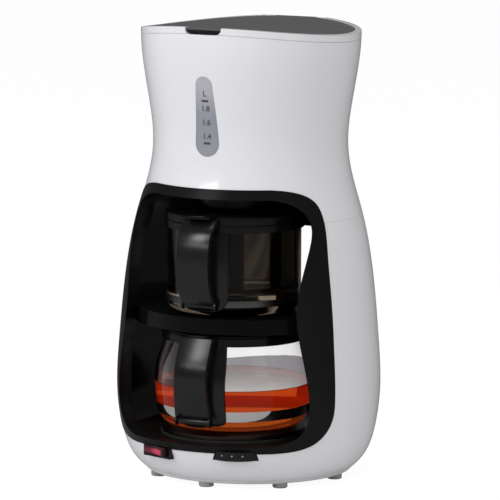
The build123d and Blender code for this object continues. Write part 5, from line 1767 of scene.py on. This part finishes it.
@dataclass
class ServingCarafe(Carafe):
    """Lower carafe: bellied glass with tea in it. Sizes in millimetres."""

    use: ClassVar[str] = "serving"
    level: ClassVar[str] = "lower"
    neck_r: float = 60.3
    top: float = 131.0
    belly_r: float = 69.0
    belly_z: float = 88.0
    heel_r: float = 66.0
    heel_z: float = 62.0
    foot_r: float = 56.0
    glass_t: float = 2.2
    low: float = 49.9
    rim_edge: float = 0.6
    sole: Point2 = (1.0, 0.4)
    plate_up: float = 1.0
    brim_w: float = 1.5
    collar_low: float = 124.0
    collar_high: float = 131.6
    band_low: float = 59.3
    band_high: float = 68.3
    lid_top: float = 134.4
    tab_t: float = 1.8
    grip_r: float = 85.4
    handle_top: float = 132.4
    handle_low: float = 54.5
    reach_in: float = 7.5
    tea_top: float = 86.5

    def wall_curve(self, grow: float) -> list[Point2]:
        """Outer outline of the glass from the neck down to the foot, moved outwards.

        Args:
            grow: how far it is moved outwards.

        Returns:
            The points, top to bottom.
        """
        collar, belly = (self.neck_r, self.collar_low), (self.belly_r, self.belly_z)
        heel, steps = (self.heel_r, self.heel_z), 10
        curve = spline_through([
            (collar[0] - 0.3, collar[1] + 1.2), collar, between(collar, belly, 0.62, 0.42), belly,
            between(belly, heel, 0.35, 0.5), heel, (self.heel_r - 2.6, self.low + 5.0),
            (self.foot_r + 3.6, self.low + 0.9), (self.foot_r, self.low),
        ], steps)
        return [(r + grow, z) for r, z in curve[steps:]]

    def build(self) -> None:
        """Build the carafe and what it carries."""
        neck, ledge, floor = self.neck_r, self.neck_r - self.glass_t, self.low + self.floor_t
        top, edge, (sole_in, sole_up) = self.top, self.rim_edge, self.sole
        rim = [(neck, top - edge), (neck - edge, top), (ledge + edge, top), (ledge, top - edge)]
        inside = [(r, z) for r, z in self.wall_curve(-self.glass_t) if z > floor + sole_up]
        sole = [(self.foot_r - self.glass_t - sole_in, floor), (0, floor)]
        outline = [(0, self.low), *reversed(self.wall_curve(0.0)), *rim, *inside, *sole]
        self.turn("glass", outline, GLASS, "glass")
        self.build_tea(floor)
        self.build_collar(neck, ledge)
        self.build_band()
        wall = Silhouette(self.wall_curve(self.handle_gap)[::-1], 2)
        side = wall.strip(self.handle_low + self.plate_up, self.collar_low - SEAT, 0.0, 24)[::-1]
        self.build_handle(self.belly_r + self.handle_gap + self.base_t, side)
        self.build_lid(neck, ledge)

    def build_band(self) -> None:
        """Steel band that follows the glass above its foot."""
        wall = self.wall_curve(SEAT)
        depths, radii = [-z for _, z in wall], [r for r, _ in wall]
        high, low = ((float(np.interp(-z, depths, radii)), z) for z in (self.band_high, self.band_low))
        near = [high, *[(r, z) for r, z in wall if self.band_low < z < self.band_high], low]
        self.turn("band", [*[(r + self.band_t, z) for r, z in near[::-1]], *near], BAND_STEEL, "steel")

    def build_tea(self, floor: float) -> None:
        """Tea in the glass, with its surface drawn up a little at the wall.

        Args:
            floor: height of the inside of the floor.
        """
        wet, under, top = self.tea_in - self.glass_t, self.tea_under, self.tea_top
        sole_in, sole_up = self.sole
        curve = [(r, z) for r, z in self.wall_curve(wet) if floor + sole_up + under < z < top]
        brim = Silhouette(self.wall_curve(wet)[::-1], 2).radius(top)
        surface = [(0, top - under), (brim - self.brim_w, top - under), (brim, top)]
        sole = [(self.foot_r - self.glass_t - sole_in - under, floor - under), (0, floor - under)]
        self.fill("tea", [*surface, *curve, *sole], TEA)


# ------------------------------------------------------------------ small repeated parts
@dataclass
class Trim:
    """Feet under the base and dots on the selector's rim. Sizes in millimetres."""

    feet: int = 8
    feet_circle_r: float = 83.5
    foot_r: float = 6.5
    foot_h: float = 4.5
    foot_edge: float = 0.7
    dots: int = 3
    dot_r: float = 0.85
    dot_angle: float = -8.5
    dot_step: float = 22.5
    dot_z: float = 33.4
    rim_in: float = 0.95

    def build_feet(self) -> None:
        """Ring of round rubber feet with a chamfered lower edge."""
        rule = Pattern("ring of feet", {
            "Feet": self.feet, "Circle": self.feet_circle_r * MM, "Radius": self.foot_r * MM,
            "Height": self.foot_h * MM, "Edge": self.foot_edge * MM,
        })
        given = rule.given
        ring = rule.add(
            "MeshCircle", ("Vertices", given["Feet"]), ("Radius", given["Circle"]), fill_type="NONE")
        wall = rule.sum("SUBTRACT", given["Height"], given["Edge"])
        column = rule.add("MeshCylinder", ("Vertices", 40), ("Radius", given["Radius"]), ("Depth", wall))
        sole = rule.add(
            "MeshCone", ("Vertices", 40), ("Radius Top", given["Radius"]), ("Depth", given["Edge"]),
            ("Radius Bottom", rule.sum("SUBTRACT", given["Radius"], given["Edge"])))
        raised = rule.add(
            "Transform", ("Geometry", column.outputs["Mesh"]),
            ("Translation", rule.spot(0.0, 0.0, rule.sum("MULTIPLY_ADD", wall, 0.5, given["Edge"]))))
        foot = rule.add("JoinGeometry", (0, raised.outputs[0]), (0, sole.outputs["Mesh"]))
        stand = rule.add("InstanceOnPoints", ("Points", ring.outputs["Mesh"]), ("Instance", foot.outputs[0]))
        made = rule.bake("rubber_feet", RUBBER_GREY, stand.outputs["Instances"])
        place(smooth(made), RUBBER_GREY, "body", "rubber_grey", ["feet"])

    def build_dots(self, body: RoundBody) -> None:
        """Row of white dots round the rim of the selector.

        Args:
            body: the body that carries the selector.
        """
        x, y = body.on_circle(body.dial_axis_r, body.dial_angle)
        rule = Pattern("row of dots", {
            "Dots": self.dots, "Circle": (body.dial_r - self.rim_in) * MM, "Dot": self.dot_r * MM,
            "First": math.radians(self.dot_angle), "Step": math.radians(self.dot_step),
            "Height": self.dot_z * MM,
        })
        given = rule.given
        row = rule.add("MeshLine", ("Count", given["Dots"]))
        angle = rule.sum("MULTIPLY_ADD", rule.add("InputIndex").outputs[0], given["Step"], given["First"])
        along = rule.sum("MULTIPLY", given["Circle"], rule.sum("SINE", angle))
        back = rule.sum("MULTIPLY", given["Circle"], rule.sum("COSINE", angle))
        spots = rule.spot(rule.sum("ADD", along, x * MM), rule.sum("SUBTRACT", y * MM, back), given["Height"])
        bent = rule.add("SetPosition", ("Geometry", row.outputs["Mesh"]), ("Position", spots))
        dot = rule.add("MeshUVSphere", ("Segments", 20), ("Rings", 10), ("Radius", given["Dot"]))
        sown = rule.add("InstanceOnPoints", ("Points", bent.outputs[0]), ("Instance", dot.outputs["Mesh"]))
        made = rule.bake("selector_dots", DOT_WHITE, sown.outputs["Instances"])
        place(smooth(made), DOT_WHITE, "dial", "black_gloss")


# ------------------------------------------------------------------ fittings that keep their own shape
@dataclass
class Fittings:
    """Finishes of the pieces whose solids are shown as they are."""

    nodes: dict[str, bpy.types.Object]

    def build(self) -> None:
        """Give each of them its finish."""
        table: dict[Finish, tuple[str, ...]] = {
            BASE_WHITE: ("base_plate",),
            BEZEL_BLACK: ("rear_frame", "brew_head", "shower_head"),
            WALL_BLACK: ("liner_left", "liner_right", "middle_shelf", "shelf_cover"),
            FLOOR_BLACK: ("cavity_floor",),
            SWITCH_BLACK: ("switch_body",),
            HANDLE_BLACK: ("selector_dial",),
            GRIP_BLACK: ("lid_grip",),
            NATURAL: ("reservoir_tank", "inlet_filter", "valve_lifter", "check_valve", "selector_switch"),
            VALVE_BLACK: ("drain_body", "drain_nut", "drain_plunger", "drain_solenoid", "thermal_fuse"),
            BASKET_BLACK: ("infuser_frame",),
            RUBBER_BLACK: ("cord_gland", "plate_gasket", "supply_tubes", "riser_tube", "drain_seal"),
            PLATE_STEEL: ("warming_plate",),
            PLAIN_STEEL: (
                "lid_hinge_pin", "base_screws", "hose_clamps", "heater_bracket", "drain_spring",
                "thermostat"),
            CAST_METAL: ("heater_tube",),
            BOARD_GREEN: ("control_board",),
            RED_LENS: ("rocker_button",),
        }
        for finish, names in table.items():
            for name in names:
                dress(self.nodes[name], finish)
                LOG.info("dressed %s", name)


# ------------------------------------------------------------------ studio
def facing(spot: Sequence[float], aim: Sequence[float]) -> Matrix:
    """Frame at a spot, for something that looks towards a point."""
    look = (Vector(aim) - Vector(spot)).to_track_quat("-Z", "Y")
    return Matrix.Translation(spot) @ look.to_matrix().to_4x4()


@dataclass(frozen=True)
class Lamp:
    """Soft rectangular lamp. Sizes in metres, power in watts."""

    name: str
    spot: tuple[float, float, float]
    size: tuple[float, float]
    power: float
    colour: Colour = (1.0, 1.0, 1.0)
    in_gloss: bool = True

    def hang(self, aim: Sequence[float]) -> None:
        """Hang the lamp so that it faces a point.

        Args:
            aim: the point that it faces.
        """
        data = bpy.data.lights.new(self.name, "AREA")
        data.color, data.shape, data.energy = self.colour, "RECTANGLE", self.power
        data.size, data.size_y = self.size
        made = new_object(self.name, data)
        made.matrix_world = facing(self.spot, aim)
        made.visible_glossy = self.in_gloss


@dataclass
class Studio:
    """Pale floor, soft lamps, white surroundings and the camera. Sizes in metres."""

    eye: tuple[float, float, float] = (1.666, -3.415, 0.732)
    target: tuple[float, float, float] = (0.0, 0.0, 0.196)
    lens: float = 315.0
    roll: float = 0.35
    lamps_aim: tuple[float, float, float] = (0.0, 0.0, 0.2)
    floor_half: float = 12.0
    fill: float = 0.42
    shine: float = 0.12
    # painted shadow: the grey that glass shows on the floor near the object, out to this edge
    table_edge: tuple[float, float, float] = (-0.774, 0.625, 0.0)
    table_reach: float = 0.558
    table_shadow_grey: tuple[float, ...] = (0.33, 0.31, 0.335, 1.0)
    floor_grey: tuple[float, ...] = (0.8, 0.8, 0.8, 1.0)
    floor_glow: float = 1.1
    floor_share: float = 0.85
    fill_tint: tuple[float, ...] = (0.97, 0.97, 1.0, 1.0)
    white: tuple[float, ...] = (1.0, 1.0, 1.0, 1.0)
    # painted reflection: what glossy rays see of the floor, a glow that is brighter in front than behind
    reflected_floor_glow: tuple[float, float] = (0.5, 0.12)
    reflected_glow_span: tuple[float, float] = (-0.3, 0.3)

    def build_camera(self) -> None:
        """Long lens a little above the object, to the right of its front."""
        data = bpy.data.cameras.new("camera")
        data.lens, data.clip_end = self.lens, 100.0
        camera = new_object("camera", data)
        camera.matrix_world = facing(self.eye, self.target) @ Matrix.Rotation(math.radians(self.roll), 4, "Z")
        bpy.context.scene.camera = camera

    def build_world(self) -> None:
        """White surroundings for the camera and through glass, dimmer light on the object."""
        world = bpy.data.worlds.new("surroundings")
        world.use_nodes = True
        bpy.context.scene.world = world
        board = Board(world.node_tree)
        path = board.add("LightPath").outputs
        rays = (0, path["Is Camera Ray"]), (1, path["Is Transmission Ray"])
        seen = board.add("Math", *rays, operation="MAXIMUM").outputs[0]
        lit = board.add("Background", Color=self.fill_tint, Strength=self.fill)
        gloss = board.add("Background", Color=self.white, Strength=self.shine)
        plain = board.add("Background", Color=self.white, Strength=1.0)
        mixed = board.mix(seen, board.mix(path["Is Glossy Ray"], lit, gloss), plain)
        board.add("OutputWorld", ("Surface", mixed.outputs[0]))

    def build_floor(self) -> None:
        """Wide white floor that keeps a soft shadow; through glass it shows a painted shadow, grey near the
        object, and to glossy rays a painted reflection glow that is brighter in front.
        """
        half = self.floor_half
        mesh = bpy.data.meshes.new("floor")
        mesh.from_pydata([(x, y, 0) for x, y in oblong(-half, half, -half, half)], [], [(0, 1, 2, 3)])
        floor = new_object("floor", mesh)
        made = bpy.data.materials.new("white_floor")
        made.use_nodes = True
        board = Board(made.node_tree)
        path, where = board.add("LightPath").outputs, board.add("TexCoord").outputs["Object"]
        matte = board.add("BsdfDiffuse", Color=self.floor_grey)
        white = board.add("Emission", Strength=self.floor_glow)
        share = board.add("Math", (0, path["Is Camera Ray"]), (1, self.floor_share), operation="MULTIPLY")
        first = board.mix(share.outputs[0], matte, white)
        # painted reflection: glossy rays see the floor as a glow that dims from front to back
        depth = board.add("SeparateXYZ", (0, where)).outputs["Y"]
        spans = zip(RANGE_INPUTS, (*self.reflected_glow_span, *self.reflected_floor_glow))
        falling = board.add("MapRange", ("Value", depth), *spans, clamp=True)
        painted_reflection = board.add("Emission", ("Strength", falling.outputs[0]))
        second = board.mix(path["Is Glossy Ray"], first, painted_reflection)
        # painted shadow seen through glass: grey on the floor near the object, white past the edge
        edge = board.add("VectorMath", (0, where), (1, self.table_edge), operation="DOT_PRODUCT")
        reach = (0, edge.outputs["Value"]), (1, self.table_reach)
        behind = board.add("Math", *reach, operation="GREATER_THAN").outputs[0]
        shadow_tone = board.add("Mix", (0, behind), (6, self.table_shadow_grey), (7, self.white), data_type="RGBA")
        through = board.add("Emission", ("Color", shadow_tone.outputs[2]), Strength=1.0)
        third = board.mix(path["Is Transmission Ray"], second, through)
        board.add("OutputMaterial", ("Surface", third.outputs[0]))
        mesh.materials.append(made)

    def build(self) -> None:
        """Build the whole studio."""
        bpy.context.scene.view_settings.view_transform = "Standard"
        self.build_camera()
        self.build_world()
        self.build_floor()
        for lamp in (
            Lamp("soft_left", (-1.5, -1.5, 1.1), (1.0, 1.4), 13.2, (0.97, 0.97, 1.0), False),
            Lamp("soft_top", (0.3, -0.4, 1.9), (1.4, 1.4), 12.0),
            Lamp("soft_right", (1.9, -0.8, 0.9), (0.9, 1.3), 8.5, (1.0, 0.985, 0.96), False),
            Lamp("card_front", (-0.787, -1.947, 0.99), (0.88, 0.24), 3.5),
            Lamp("card_high", (-0.69, -1.465, 1.376), (0.4, 0.6), 8.0),
        ):
            lamp.hang(self.lamps_aim)


def main() -> None:
    """Build each part of the object in order, then the studio."""
    body = RoundBody()
    Studio().build()
    body.build()
    Gauge().build(body)
    TankLid().build(body)
    SteepingCarafe().build()
    ServingCarafe().build()
    trim = Trim()
    trim.build_feet()
    trim.build_dots(body)
    Fittings(frame["nodes"]).build()


if __name__ == "__main__":
    logging.basicConfig(level=logging.INFO)
    main()
